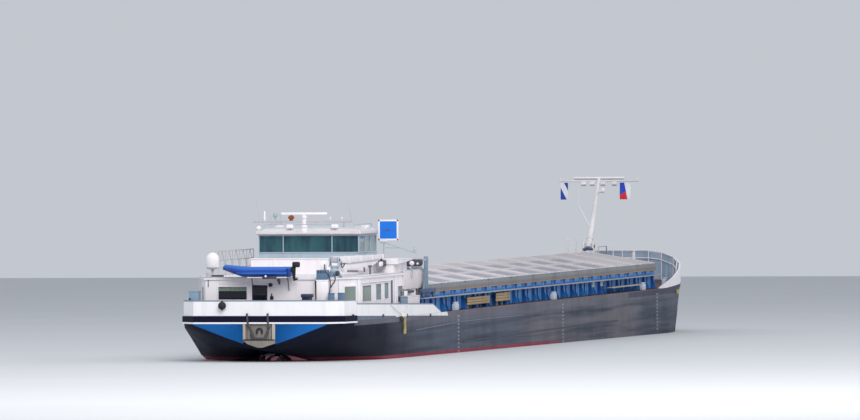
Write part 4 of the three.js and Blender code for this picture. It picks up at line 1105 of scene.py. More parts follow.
# The door's frame round its opening, and a panel over the window beside it; fittings and pipes on the walls.
houseTrim = {
    "doorFrame": {"slot": "white_paint", "paints": ["whitePaint"], "boxes": (((1.85, 1.905), (0.01, 0.08),
        (3.24, 5.04), 0.004), ((1.89, 1.905), (0.91, 0.96), (3.24, 5.04), 0.004), ((1.85, 1.905), (0.08,
        0.78), (4.975, 5.04), 0.004), ((1.88, 1.905), (1.15, 2.55), (4.98, 5.2), 0.006))},
    "door": ((0.1, 0.88), (3.24, 4.95)), "doorPane": 4.2, "handle": (0.1, 4.1),
    "fittings": (((1.85, 1.91), (-0.57, -0.47), (5.0, 5.26), 0.02, 1), ((1.82, 1.91), (-0.22, -0.06), (4.25,
        4.42), 0.02), ((1.87, 1.91), (3.1, 3.14), (4.88, 5.26), 0.01, 1)),
    "lamp": ((0, 0), (0.06, 0), (0.075, 0.05), (0.075, 0.14), (0.04, 0.18), (0, 0.19)),
    "lampAt": (1.88, -0.52, 5.2), "bell": ((0, 0), (0.09, 0), (0.1, 0.05), (0.08, 0.1), (0, 0.12)),
    "bellAt": (1.88, -0.08, 4.98), "hook": ((1.83, -0.14, 4.4), (1.83, -0.14, 4.56)),
    "aftDrain": ((1.84, -2.4, 5.18), (1.82, -2.42, 4.6), (1.84, -2.44, 3.6), (1.84, -2.44, 3.24)),
    "sideDrain": (4.14, ((10.65, 5.02), (10.65, 3.24))),
    "conduits": ((4.15, ((11.3, 5.22), (11.3, 3.24))), (4.06, ((3.9, 5.22), (3.9, 4.0))), (4.16, ((4.4, 5.02),
        (10.3, 5.02)))),
    "roofEdgeZ": 5.36,
    "roofEdges": (((15.97, 4.17), (4.18, 4.17), (1.83, 3.3), (1.83, 0)), ((1.83, -3.3), (4.18, -4.17), (15.97,
        -4.17), (1.83, 0)))}


def makeHouseDoor():
    bm = bmesh.new()
    (y0, y1), (z0, z1) = houseTrim["door"]
    s0 = boxOf("aft_house_door")[0][0]
    addBox(bm, (s0, s0 + 0.06), (y0, y1), (z0, z1), 0.01)
    pane = houseTrim["doorPane"]
    addBox(bm, (s0 - 0.012, s0 + 0.01), (y0 + 0.06, y1 - 0.06), (pane, z1 - 0.07), 0.004)
    addBox(bm, (s0 - 0.018, s0 + 0.01), (y0 + 0.09, y1 - 0.09), (pane + 0.03, z1 - 0.1), 0.004, 1)
    inset, z = houseTrim["handle"]
    y = y0 + inset
    addRod(bm, (s0 - 0.05, y, z), (s0 - 0.05, y + 0.12, z), 0.012, 8, tone=2)
    addRod(bm, (s0 - 0.05, y, z), (s0 + 0.01, y, z), 0.012, 8, tone=2)
    makePiece("aftHouseDoor", bm, "aft_house_door", ["navyPaint", "darkGlass", "steel"],
              stands=["aft_house_door"])


def makeHouseTrim():
    makeBoxes("houseDoorFrame", houseTrim["doorFrame"])
    makeHouseDoor()
    bm = bmesh.new()
    addTurned(bm, houseTrim["lamp"], houseTrim["lampAt"], 16, (-1, 0, 0), 1)
    addTurned(bm, houseTrim["bell"], houseTrim["bellAt"], 16, (-1, 0, 0))
    addBoxes(bm, houseTrim["fittings"])
    addRod(bm, *houseTrim["hook"], 0.04, 10, 0.025)
    makePiece("houseFittings", bm, "barge", ["blackPlastic", "pipeGrey"])
    makeTubes("aftDrainPipe", [houseTrim["aftDrain"]], 0.05, "barge", "darkRope", sides=2)
    y, path = houseTrim["sideDrain"]
    makeTubes("sideDrainPipes", [lengthwise(side * y, path) for side in bothSides], 0.045, "barge",
              "pipeGrey", sides=2)
    paths = [lengthwise(side * y, path) for side in bothSides for y, path in houseTrim["conduits"]]
    makeTubes("sideConduits", paths, 0.03, "barge", "whitePaint", sides=1)
    edges = [flatwise(houseTrim["roofEdgeZ"], path) for path in houseTrim["roofEdges"]]
    makeTubes("houseRoofEdge", edges, 0.035, "barge", "roofPaint", sides=1)


makeHouseWindows()
makeHouseTrim()
print("aft house done")

# Raised tier with seams and louvres, and the tapering wings that reach out from it.
tier = {
    "seamY": (-1.7, -0.6, 0.6, 1.7), "seamS": (10.6, 12.2), "seamZ": (5.36, 6.15), "wallY": 2.895,
    "louvres": 5, "louvreS": (9.9, 10.5), "louvreZ": 5.7, "louvrePitch": 0.07, "louvreHigh": 0.035,
    "ledge": ((9.44, 14.25), (-2.95, 2.95), (6.12, 6.165), 0.02)}
wing = {
    "half": 3.95, "topZ": 6.1, "lip": ((12.75, 6.05), (12.75, 6.12), (15.8, 6.01), (15.8, 5.96)),
    "seamS": (13.6, 14.6), "seamY": (3.7, 3.72), "seamZ": (5.36, 5.8)}


def makeTierTrim():
    bm = bmesh.new()
    wall = tier["wallY"]
    for y in tier["seamY"]:
        addBox(bm, (9.46, 9.505), (y - 0.02, y + 0.02), tier["seamZ"], 0.006)
    for s in tier["seamS"]:
        addPair(bm, (s - 0.02, s + 0.02), (wall, wall + 0.035), tier["seamZ"], 0.006)
    for i in range(tier["louvres"]):
        z = tier["louvreZ"] + i * tier["louvrePitch"]
        addPair(bm, tier["louvreS"], (wall, wall + 0.055), (z, z + tier["louvreHigh"]), 0.008)
    for side in bothSides:
        addPlate(bm, lengthwise(side * wing["half"], wing["lip"]), (0, side * 0.025, 0))
    for s in wing["seamS"]:
        addPair(bm, (s - 0.015, s + 0.015), wing["seamY"], wing["seamZ"], 0.005)
    addBox(bm, *tier["ledge"])
    makePiece("tierTrim", bm, "barge", ["whitePaint"])


# Glazed bridge: window bars astern and at the sides, panes, and a curtain behind them.
bridge = {
    "half": 2.6, "sillZ": 6.44, "headZ": 7.3, "roofS": (9.7, 14.1), "roofHalf": 2.77, "edgeZ": 7.53,
    "fasciaZ": 7.38, "barY": (-2.59, -1.21, 1.33, 2.59), "sternBarS": (9.955, 10.01),
    "sternRailS": (9.96, 10.01), "sideBars": ((1, (10.05, 11.45)), (1, (12.55, 13.75)), (-1, (10.05, 13.75))),
    "sideBarY": (2.58, 2.63), "sternPaneS": (9.975, 9.995),
    "sternPanes": ((-2.58, -1.23), (-1.19, 1.31), (1.35, 2.58)), "forePaneS": (13.74, 13.765),
    "sidePaneY": (2.53, 2.555),
    "forePanes": ((-2.45, -1.53), (-1.47, -0.53), (-0.47, 0.47), (0.53, 1.47), (1.53, 2.45)),
    "sidePanes": ((1, (10.1, 11.42)), (1, (12.58, 13.7)), (-1, (10.1, 11.42)), (-1, (11.48, 12.52)), (-1,
        (12.58, 13.7))),
    "curtain": {"slot": "console_wood", "paints": ["navyPaint"], "boxes": (((10.3, 10.34), (-0.7, 0.1), (6.2,
        6.72), 0.02), ((10.16, 10.2), (-2.4, 2.4), (7.16, 7.24), 0.01))}}


def makeBridgeTrim():
    bm = bmesh.new()
    sill, head, half = bridge["sillZ"], bridge["headZ"], bridge["half"]
    for y in bridge["barY"]:
        addBox(bm, bridge["sternBarS"], (y - 0.025, y + 0.025), (sill - 0.05, head + 0.05), 0.012)
    for z in (sill, head):
        addBox(bm, bridge["sternRailS"], (-half, half), (z - 0.025, z + 0.025), 0.012)
        for side, s in bridge["sideBars"]:
            addBox(bm, s, across(side, *bridge["sideBarY"]), (z - 0.03, z + 0.03), 0.012)
    makePiece("bridgeWindowFrames", bm, "barge", ["sillPaint"])
    bm = bmesh.new()
    for y in bridge["sternPanes"]:
        addBox(bm, bridge["sternPaneS"], y, (sill, head))
    makePiece("bridgeSternGlass", bm, "barge", ["sternGlass"])
    bm = bmesh.new()
    for y in bridge["forePanes"]:
        addBox(bm, bridge["forePaneS"], y, (sill, head))
    for side, s in bridge["sidePanes"]:
        addBox(bm, s, across(side, *bridge["sidePaneY"]), (sill, head))
    makePiece("bridgeSideGlass", bm, "barge", ["sideGlass"], stands=["wheelhouse_glass"])
    makeBoxes("bridgeCurtain", bridge["curtain"])


# A plan with rounded corners, as points in model metres.
def roundedPlan(s, y, radius, z, corner=5):
    points = []
    for k, (cs, cy) in enumerate(((s[1], y[1]), (s[0], y[1]), (s[0], y[0]), (s[1], y[0]))):
        inS = cs - radius if k in (0, 3) else cs + radius
        inY = cy - radius if k in (0, 1) else cy + radius
        for i in range(corner + 1):
            a = math.pi / 2 * (k + i / corner)
            points.append(at(inS + radius * math.cos(a), inY + radius * math.sin(a), z))
    return points


def addLayers(bm, rings):
    rows = [[bm.verts.new(point) for point in ring] for ring in rings]
    faces = [bm.faces.new((*low, *high)) for under, over in zip(rows, rows[1:])
             for low, high in zip(zip(under, under[1:] + under[:1]), zip(over[1:] + over[:1], over))]
    return faces + [bm.faces.new(rows[0][::-1]), bm.faces.new(rows[-1])]


# Roof as layers, each an inset and a height, with its lamps and low rails.
bridgeRoof = {
    "corner": 0.1,
    "layers": ((0.12, 7.334), (0.05, 7.38), (0, 7.39), (0, 7.51), (0.02, 7.53), (0.3, 7.55), (0.34, 7.62),
        (0.5, 7.65), (0.9, 7.7)),
    "domeLamp": ((0, 0), (0.05, 0), (0.06, 0.03), (0.1, 0.06), (0.13, 0.13), (0.1, 0.21), (0.05, 0.25), (0,
        0.26)),
    "domeLampAt": (9.95, 2.6, 7.54), "sternLamp": ((9.66, 9.72), (0.02, 0.27), (7.4, 7.68), 0.03),
    "floodY": (-1.35, 0.98), "hatchY": (-2.3, 2.2),
    "rails": (((10.0, -2.35, 7.68), (10.0, -2.35, 7.84), (13.7, -2.35, 7.84), (13.7, -2.35, 7.66)), ((10.0,
        2.35, 7.68), (10.0, 2.35, 7.84), (13.7, 2.35, 7.84), (13.7, 2.35, 7.66)), ((10.1, -1.3, 7.86), (10.1,
        1.1, 7.86)))}


def makeBridgeRoof():
    bm = bmesh.new()
    (s0, s1), half = bridge["roofS"], bridge["roofHalf"]
    faces = addLayers(bm, [roundedPlan((s0 + inset, s1 - inset), (inset - half, half - inset),
                                       bridgeRoof["corner"], z) for inset, z in bridgeRoof["layers"]])
    low, high = bridge["fasciaZ"] * scale, bridge["edgeZ"] * scale
    paintFaces([face for face in faces if low < face.calc_center_median().z < high], 1)
    makePiece("bridgeRoof", bm, "barge", ["roofPaint", "fasciaPaint"],
              stands=["wheelhouse_roof"])
    bm = bmesh.new()
    addTurned(bm, bridgeRoof["domeLamp"], bridgeRoof["domeLampAt"], 20)
    addBox(bm, *bridgeRoof["sternLamp"])
    for y in bridgeRoof["floodY"]:
        addBox(bm, (9.9, 10.2), (y - 0.17, y + 0.17), (7.64, 7.86), 0.04)
        addBox(bm, (9.86, 9.92), (y - 0.13, y + 0.13), (7.67, 7.83), 0.03)
    for y in bridgeRoof["hatchY"]:
        addBox(bm, (12.4, 13.0), (y - 0.16, y + 0.16), (7.6, 7.78), 0.04)
    makePiece("bridgeRoofLamps", bm, "barge", ["whitePaint"])
    makeTubes("bridgeRoofRails", bridgeRoof["rails"], 0.022, "barge", "sillPaint", sides=1)


bridgeDoor = {"rail": 0.12, "headZ": 7.08, "plateZ": (5.6, 6.3), "handleZ": 6.3}


def makeBridgeDoor():
    bm = bmesh.new()
    (s0, s1), y, (z0, z1) = boxOf("wheelhouse_door")
    y0, y1 = y
    rail, head, sill = bridgeDoor["rail"], bridgeDoor["headZ"], bridge["sillZ"]
    middle = (s0 + rail, s1 - rail)
    for s, z in (((s0, s0 + rail), (z0, z1)), ((s1 - rail, s1), (z0, z1)), (middle, (head, z1)),
                 (middle, (z0, sill))):
        addBox(bm, s, y, z, 0.01)
    addBox(bm, (s0 + 0.2, s1 - 0.2), (y1 - 0.01, y1 + 0.012), bridgeDoor["plateZ"], 0.01)
    addBox(bm, middle, (y0 + 0.02, y0 + 0.04), (sill, head), 0, 1)
    grip, z = s0 + 0.07, bridgeDoor["handleZ"]
    addRod(bm, (grip, y1 + 0.04, z), (grip + 0.13, y1 + 0.04, z), 0.014, 8, tone=2)
    addRod(bm, (grip, y1 - 0.01, z), (grip, y1 + 0.04, z), 0.014, 8, tone=2)
    makePiece("bridgeDoor", bm, "wheelhouse_door", ["sillPaint", "sideGlass", "steel"],
              stands=["wheelhouse_door"])


helm = {
    "desk": ((12.75, 5.35), (13.5, 5.35), (13.5, 6.46), (13.3, 6.46), (12.75, 6.22)), "deskHalf": 1.3,
    "screenY": (-0.9, -0.3, 0.3, 0.9), "lever": ((12.95, 0, 6.28), (12.95, 0, 6.42)),
    "foot": ((0, 0), (0.26, 0), (0.26, 0.03), (0.08, 0.07), (0.06, 0.5), (0, 0.5)),
    "footAt": (12.0, 0, 5.346), "back": ((11.7, 5.95), (11.82, 5.95), (11.76, 6.64), (11.68, 6.64)),
    "backHalf": 0.25}


def makeHelm():
    bm = bmesh.new()
    addSlab(bm, 0, helm["deskHalf"], helm["desk"], 0.03)
    for y in helm["screenY"]:
        addBox(bm, (13.22, 13.28), (y - 0.22, y + 0.22), (6.46, 6.68), 0.02, 1)
    addRod(bm, *helm["lever"], 0.03, 10, tone=1)
    makePiece("helmDesk", bm, "barge", ["board", "blackPlastic"], stands=["helm_console"])
    bm = bmesh.new()
    addTurned(bm, helm["foot"], helm["footAt"], 20)
    addBox(bm, (11.72, 12.26), (-0.27, 0.27), (5.84, 5.98), 0.05, segments=3)
    addSlab(bm, 0, helm["backHalf"], helm["back"], 0.04)
    addPair(bm, (11.8, 12.15), (0.26, 0.33), (6.1, 6.16), 0.02)
    for side in bothSides:
        addRod(bm, (11.85, side * 0.295, 5.95), (11.85, side * 0.295, 6.12), 0.02, 8)
    makePiece("helmSeat", bm, "barge", ["blackPlastic"], stands=["helm_seat"])


makeTierTrim()
makeBridgeTrim()
makeBridgeRoof()
makeBridgeDoor()
makeHelm()
print("wheelhouse done")

# Antenna yard on the wheelhouse roof: pedestal, beacon, cyan dome, balls and whips, and the radar scanner.
aerial = {
    "s": 10.9, "y": 0.46, "yard": (-2.04, 3.11), "yardZ": (7.94, 8.05), "z": 8.0, "footZ": 7.704,
    "scannerZ": 8.274,
    "pedestal": ((0, 0), (0.19, 0), (0.19, 0.03), (0.13, 0.08), (0.11, 0.42), (0.15, 0.46), (0.15, 0.585), (0,
        0.585)),
    "posts": (-1.6, 2.15), "beaconY": 1.14,
    "beacon": ((0, 0), (0.09, 0), (0.09, 0.06), (0.15, 0.09), (0.16, 0.18), (0.09, 0.25), (0, 0.27)),
    "dome": ((0, 0), (0.03, 0), (0.03, 0.18), (0.1, 0.2), (0.12, 0.27), (0.1, 0.36), (0.05, 0.41), (0, 0.42)),
    "domeY": 1.97, "horn": (2.53, 0.47), "balls": (-0.9, -1.5), "whips": (2.78, 2.2, 1.68, -2.0),
    "whipLean": 0.17}


# A scanner's bar across, in section, on its short axle.
def makeScanner(name, node, s, y, axle, barZ, half):
    bm = bmesh.new()
    addRod(bm, (s, y, axle[0]), (s, y, axle[1]), 0.09, 18)
    section = [(s + ds, y - half, z) for ds, z in zip((-0.09, 0.09, 0.06, -0.06), barZ)]
    addPlate(bm, section, (0, 2 * half, 0), 0.02)
    return makePiece(name, bm, node, ["whitePaint"], stands=[node])


def makeAerials():
    bm = bmesh.new()
    s, z, foot = aerial["s"], aerial["z"], aerial["footZ"]
    addTurned(bm, aerial["pedestal"], (s, aerial["y"], foot), 20)
    addBox(bm, (s - 0.05, s + 0.05), aerial["yard"], aerial["yardZ"], 0.015, 1)
    for y in aerial["posts"]:
        addRod(bm, (s, y, foot), (s, y, z), 0.035, 10, tone=1)
        addRod(bm, (s, y, foot), (s, y, foot + 0.03), 0.09, 12, tone=1)
    addTurned(bm, aerial["beacon"], (s, aerial["beaconY"], z + 0.05), 18, tone=2)
    addTurned(bm, aerial["dome"], (s, aerial["domeY"], z + 0.02), 20, tone=3)
    y, high = aerial["horn"]
    addRod(bm, (s, y, z), (s, y, z + high), 0.05, 12)
    addBall(bm, (s, y, z + high), 0.052, 6)
    for y in aerial["balls"]:
        addRod(bm, (s, y, z), (s, y, z + 0.14), 0.02, 8)
        addBall(bm, (s, y, z + 0.17), 0.05, 6)
    for y in aerial["whips"]:
        addRod(bm, (s, y, z), (s, y, z + 0.12), 0.022, 8, tone=1)
        addRod(bm, (s, y, z + 0.1), (s, y + aerial["whipLean"], z + 0.98), 0.015, 6, 0.009, 1)
    makePiece("antennaYard", bm, "barge", ["whitePaint", "yardGrey", "amber", "domeCyan"],
              stands=["antenna_yard"])
    makeScanner("sternScanner", "radar_scanner_aft", s, aerial["y"], (aerial["scannerZ"], 8.35),
                (8.34, 8.34, 8.45, 8.46), 1.2)


# Blue signal board with its white rim and small lamp, on a hinged foot, and the lamp on its arm.
signal = {
    "s": 13.25, "y": (-3.87, -2.82), "z": (6.99, 8.04), "rim": 0.085, "postY": -3.11, "hingeZ": 6.96,
    "lamp": ((0, 0), (0.045, 0), (0.05, 0.03), (0.035, 0.045), (0, 0.05)), "lampAt": (13.23, -3.34, 7.56),
    "lampBar": ((-3.62, -3.06), (7.485, 7.51)), "armLampY": -4.72,
    "lens": ((0, 0), (0.05, 0), (0.05, 0.02), (0, 0.03)), "lensZ": 6.56}


def makeSignal():
    bm = bmesh.new()
    s, (y0, y1), (z0, z1), rim = signal["s"], signal["y"], signal["z"], signal["rim"]
    addBox(bm, (s - 0.012, s + 0.02), (y0 + 0.02, y1 - 0.02), (z0 + 0.02, z1 - 0.02))
    for ys, zs in (((y0, y0 + rim), (z0, z1)), ((y1 - rim, y1), (z0, z1)), ((y0, y1), (z0, z0 + rim)),
                   ((y0, y1), (z1 - rim, z1))):
        addBox(bm, (s - 0.03, s + 0.03), ys, zs, 0.008, 1)
    addTurned(bm, signal["lamp"], signal["lampAt"], 18, (-1, 0, 0), 2)
    addBox(bm, (s - 0.028, s - 0.01), *signal["lampBar"], 0.004, 2)
    y, hinge = signal["postY"], signal["hingeZ"]
    addRod(bm, (s, y - 0.2, hinge), (s, y + 0.2, hinge), 0.034, 12, tone=1)
    makePiece("signalBoard", bm, "blue_signal_board", ["signBlue", "whitePaint", "pipeGrey"],
              stands=["blue_signal_board"])
    bm = bmesh.new()
    foot, lampY = wing["topZ"], signal["armLampY"]
    addRod(bm, (s, y, foot - 0.02), (s, y, 6.88), 0.04, 12)
    addRod(bm, (s, y, foot - 0.02), (s, y, foot + 0.02), 0.12, 16)
    addPost(bm, s, y, 0.05, 0.2, (6.84, 6.918), 0.01)
    addRod(bm, (s, y, 6.62), (s, -3.97, 6.6), 0.022, 8)
    addRod(bm, (s, y - 0.1, 6.87), (s, lampY, 6.36), 0.028, 8)
    addBox(bm, (s - 0.07, s + 0.05), (lampY - 0.065, lampY + 0.065), (6.34, 6.68), 0.03)
    addTurned(bm, signal["lens"], (s - 0.07, lampY, signal["lensZ"]), 14, (-1, 0, 0), 1)
    makePiece("signalPost", bm, "barge", ["sillPaint", "lampGlass"], stands=["signal_post"])


makeAerials()
makeSignal()

# Port quarter: dish cover on a thin pedestal, a round drum, a dark box, and the lattice rail.
portQuarter = {
    "roof": 5.344, "coverAt": (2.9, 3.16), "skirtTop": 0.51,
    "cover": ((0, 0), (0.2, 0), (0.2, 0.03), (0.07, 0.06), (0.06, 0.38), (0.2, 0.41), (0.29, 0.43), (0.31,
        0.5), (0.325, 0.52), (0.325, 0.93), (0.31, 1.02), (0.26, 1.11), (0.17, 1.19), (0.08, 1.228), (0,
        1.236)),
    "drum": ((0, 0), (0.165, 0), (0.165, 0.2), (0.13, 0.25), (0.06, 0.27), (0, 0.27)), "drumAt": (2.3, 3.17),
    "box": ((2.0, 2.5), (2.47, 2.99)), "railS": (5.0, 11.95), "railY": 3.4, "posts": 6,
    "bars": (5.75, 6.15, 6.6)}


def makePortQuarter():
    look, roof = portQuarter, portQuarter["roof"]
    bm = bmesh.new()
    addTurned(bm, look["cover"], (*look["coverAt"], roof), 32)
    skirt = at(0, 0, roof + look["skirtTop"]).z
    paintFaces([face for face in bm.faces if face.calc_center_median().z < skirt], 1)
    makePiece("dishCover", bm, "barge", ["whitePaint", "softGrey"], stands=["dish_dome"],
              smooth=50)
    bm = bmesh.new()
    addTurned(bm, look["drum"], (*look["drumAt"], roof), 20)
    addBox(bm, *look["box"], (roof - 0.02, roof + 0.12), 0.03, 1)
    makePiece("roofDrum", bm, "barge", ["softGrey", "rubber"])
    y, (aft, fore), bars = look["railY"], look["railS"], look["bars"]
    step = (fore - aft) / (look["posts"] - 1)
    stations = [aft + i * step for i in range(look["posts"])]
    paths = [lengthwise(y, ((s, roof), (s, bars[-1]))) for s in stations]
    paths += [lengthwise(y, ((aft, z), (fore, z))) for z in bars]
    makeTubes("portRoofRail", paths, 0.022, "barge", "railGrey", stands=["roof_rail_port"],
              sides=1)
    braces = [lengthwise(y, ((s, bars[0]), (s + step / 2, bars[-1]), (s + step, bars[0])))
              for s in stations[:-1]]
    makeTubes("portRailBraces", braces, 0.014, "barge", "railGrey", sides=1)


# Ship's boat: a blue moulded hull with side tubes and strakes, thwarts, outboard motor and cradle.
boat = {
    "s": 1.4, "y": (-1.27, 2.24), "z": (5.4, 5.88), "half": 0.72, "sheer": 0.12, "steps": 14,
    "section": ((1.0, -0.1), (0.97, -0.24), (0.8, 0.09)), "narrowFrom": 0.55, "riseFrom": 0.7, "wall": 0.05,
    "tube": 0.1, "tubeIn": 0.06, "strake": 0.055, "strakeOut": 0.01, "strakeDrop": 0.2,
    "thwarts": {"slot": "boat_plastic", "paints": ["boatBlue"], "boxes": (((0.76, 2.04), (-0.62, -0.38),
        (5.72, 5.76), 0.015), ((0.76, 2.04), (0.38, 0.62), (5.72, 5.76), 0.015), ((0.95, 1.85), (-1.25,
        -1.18), (5.5, 5.84), 0.015))}}
outboard = {
    "cowl": ((1.24, 1.56), (-1.69, -1.34), (5.86, 6.13)),
    "band": ((1.26, 1.54), (-1.67, -1.36), (6.02, 6.12)),
    "clamp": ((1.32, 1.48), (-1.44, -1.275), (5.62, 5.9)),
    "leg": ((-1.5, 5.92), (-1.32, 5.92), (-1.33, 5.4), (-1.38, 5.19), (-1.46, 5.19)),
    "fin": ((1.36, 1.44), (-1.61, -1.31), (5.32, 5.35)),
    "hub": ((0, 0), (0.035, 0.01), (0.045, 0.1), (0.03, 0.18), (0, 0.2)), "hubAt": (1.4, -1.6, 5.27)}
cradle = {
    "beamY": (-1.1, 0.8), "chockS": (0.95, 1.75),
    "boxes": (((2.9, 2.98), (-1.1, 0.8), (5.345, 5.42), 0.01), ((0.82, 0.9), (-1.1, 0.8), (5.35, 5.39), 0.01),
        ((0.72, 0.86), (-0.66, 0.06), (5.3, 5.4), 0.02, 1)),
    "ball": (0.7, -0.13, 5.43),
    "struts": (((1.6, 0.82, 5.36), (1.7, 0.81, 5.1), (1.82, 0.78, 4.85)), ((1.6, -1.02, 5.36), (1.75, -1.03,
        4.95), (1.84, -1.04, 4.7)))}


def boatTaper(t, share):
    return 1.0 - max(0.0, (t - boat["narrowFrom"]) / (1 - boat["narrowFrom"])) ** 2.2 * share


def boatRise(t):
    return max(0.0, (t - boat["riseFrom"]) / (1 - boat["riseFrom"]))


def makeBoatHull():
    bm = bmesh.new()
    (stern, bow), (low, high), steps = boat["y"], boat["z"], boat["steps"]
    rings = []
    for i in range(steps + 1):
        t = i / steps
        y = stern + 0.02 + (bow - stern - 0.06) * t
        lift, rise = boatRise(t) * boat["sheer"], boatRise(t) ** 1.15 * 0.36
        beam = boat["half"] * boatTaper(t, 0.92)
        (edge, edgeZ), (flank, flankZ), (chine, chineZ) = boat["section"]
        port = [(edge * beam, high + edgeZ + lift), (flank * beam, high + flankZ + lift),
                (chine * beam, low + chineZ + rise)]
        section = [(-out, z) for out, z in port] + [(0.0, low + 0.01 + rise)] + port[::-1]
        rings.append([bm.verts.new(at(boat["s"] + out, y, min(z, high - 0.08 + lift))) for out, z in section])
    for first, second in zip(rings, rings[1:]):
        for k in range(len(first) - 1):
            bm.faces.new((first[k], first[k + 1], second[k + 1], second[k]))
    bm.faces.new(rings[0])
    piece = makePiece("boatHull", bm, "barge", ["boatDeep"], stands=["ship_boat"], smooth=50,
                      outward=False)
    wall = piece.modifiers.new("wall", "SOLIDIFY")
    wall.thickness = boat["wall"] * scale
    wall.offset = 0.0
    port = []
    for i in range(steps + 1):
        t = i / steps
        port.append((boat["s"] - (boat["half"] - boat["tubeIn"]) * boatTaper(t, 0.94),
                     stern + 0.08 + (bow - stern - 0.24) * t, high - 0.1 + boatRise(t) * boat["sheer"]))
    starboard = [(2 * boat["s"] - s, y, z) for s, y, z in port]
    makeTubes("boatTubes", [port + starboard[::-1]], boat["tube"], "barge", "boatBlue",
              sides=4,
              curved=True)
    strakes = [[(s + way * boat["strakeOut"], y, z - boat["strakeDrop"]) for s, y, z in path[:-3]]
               for path, way in ((port, -1), (starboard, 1))]
    makeTubes("boatStrakes", strakes, boat["strake"], "barge", "boatBlue", sides=3,
              curved=True)
    makeBoxes("boatThwarts", boat["thwarts"])


def makeOutboard():
    bm = bmesh.new()
    addBox(bm, *outboard["cowl"], 0.06, segments=3)
    addBox(bm, *outboard["band"], 0.04, 1, 3)
    addBox(bm, *outboard["clamp"], 0.02)
    addPlate(bm, crosswise(1.38, outboard["leg"]), (0.05, 0, 0), 0.008)
    addBox(bm, *outboard["fin"], 0.008)
    addTurned(bm, outboard["hub"], outboard["hubAt"], 14, (0, 1, 0))
    makePiece("outboardMotor", bm, "barge", ["blackPlastic", "greyPaint"],
              stands=["outboard_motor"])


def makeCradle():
    bm = bmesh.new()
    for y in cradle["beamY"]:
        addBox(bm, (0.78, 2.98), (y - 0.04, y + 0.04), (5.345, 5.4), 0.01)
        for s in cradle["chockS"]:
            addBox(bm, (s, s + 0.14), (y - 0.035, y + 0.035), (5.37, 5.405), 0.008)
    addBoxes(bm, cradle["boxes"])
    addBall(bm, cradle["ball"], 0.06, 8)
    makePiece("boatCradle", bm, "barge", ["whitePaint", "driveDark"], stands=["boat_cradle"])
    makeTubes("cradleStruts", cradle["struts"], 0.022, "barge", "darkRope", sides=1)


makePortQuarter()
makeBoatHull()
makeOutboard()
makeCradle()
print("boat and port quarter done")

# Deck crane: seat, slewing column, box boom over a jib and a luffing cylinder, hook block and hoses.
crane = {
    "s": 2.5, "y": -3.2, "pivotZ": 6.19, "bolts": 8, "boltRing": 0.35, "boltZ": (5.38, 5.43), "seatZ": 5.345,
    "seat": ((0, 0), (0.4, 0), (0.4, 0.05), (0.3, 0.07), (0.3, 0.2), (0.27, 0.22), (0.27, 0.275), (0, 0.275)),
    "columnZ": 5.626, "column": ((0, 0), (0.24, 0), (0.24, 0.06), (0.2, 0.1), (0.2, 0.24), (0, 0.24)),
    "bed": ((2.28, 2.72), (-3.46, -2.94), (5.85, 5.92), 0.01), "earOut": 0.2, "earThick": 0.055,
    "ear": ((2.29, 5.9), (2.71, 5.9), (2.63, 6.3), (2.57, 6.355), (2.43, 6.355), (2.37, 6.3)),
    "web": ((2.4, 6.06), (3.2, 6.02), (4.7, 6.0), (12.3, 6.09), (12.3, 6.29), (2.6, 6.36), (2.4, 6.32)),
    "jib": ((3.4, 5.93), (4.4, 5.53), (7.3, 5.5), (10.0, 5.76), (11.6, 6.04), (4.7, 5.97)),
    "gap": ((4.5, 5.94), (4.5, 6.02), (11.5, 6.08), (11.5, 6.0)), "bands": (5.1, 7.5, 9.9, 12.15),
    "bandLow": (5.98, 4.7, 0.012), "bandTop": (6.37, 2.5, -0.0071),
    "cylinder": ((4.6, -3.36, 5.6), (6.6, -3.36, 5.56), (7.4, -3.36, 5.55)),
    "boomBoxes": (((9.2, 9.4), (-3.37, -3.32), (5.34, 5.8), 0.02, 2), ((8.95, 9.65), (-3.375, -3.32), (5.71,
        5.79), 0.02, 2), ((8.0, 8.2), (-3.37, -3.32), (5.48, 5.72), 0.02, 2), ((2.38, 3.0), (-3.365, -3.035),
        (6.05, 6.34), 0.03, 3)),
    "blockBoxes": (((11.96, 12.16), (-3.29, -3.11), (5.86, 6.07), 0.03), ((12.05, 12.75), (-3.36, -3.1),
        (5.68, 6.0), 0.04), ((11.25, 11.95), (-3.39, -3.3), (5.7, 5.95), 0.05, 1)),
    "sheave": ((0, 0), (0.1, 0), (0.12, 0.04), (0.12, 0.1), (0.1, 0.14), (0, 0.14)),
    "sheaveAt": (12.06, -3.27, 5.9), "hook": (12.06, 5.79, 0.085), "hookSteps": 14, "hoseY": -3.355,
    "hoses": (((3.4, 6.1), (2.9, 5.98), (2.84, 6.1), (2.8, 6.2)), ((4.0, 5.98), (3.7, 5.86), (3.4, 5.81),
        (3.25, 5.98)))}


def makeCraneFoot():
    s, y, pivot, ring = crane["s"], crane["y"], crane["pivotZ"], crane["boltRing"]
    bm = bmesh.new()
    addTurned(bm, crane["seat"], (s, y, crane["seatZ"]), 28)
    for i in range(crane["bolts"]):
        a = math.tau * i / crane["bolts"]
        addRod(bm, *[(s + ring * math.cos(a), y + ring * math.sin(a), z) for z in crane["boltZ"]], 0.022, 6)
    makePiece("craneSeat", bm, "barge", ["greyPaint"], stands=["deck_crane_seat"])
    bm = bmesh.new()
    addTurned(bm, crane["column"], (s, y, crane["columnZ"]), 28)
    addBox(bm, *crane["bed"])
    for side in bothSides:
        ear = lengthwise(y + side * crane["earOut"], crane["ear"])
        addPlate(bm, ear, (0, side * crane["earThick"], 0), 0.008)
        addRod(bm, (s, y + side * 0.255, pivot), (s, y + side * 0.29, pivot), 0.06, 14, tone=1)
    makePiece("craneColumn", bm, "deck_crane_column", ["sillPaint", "blackPlastic"],
              stands=["deck_crane_column"])


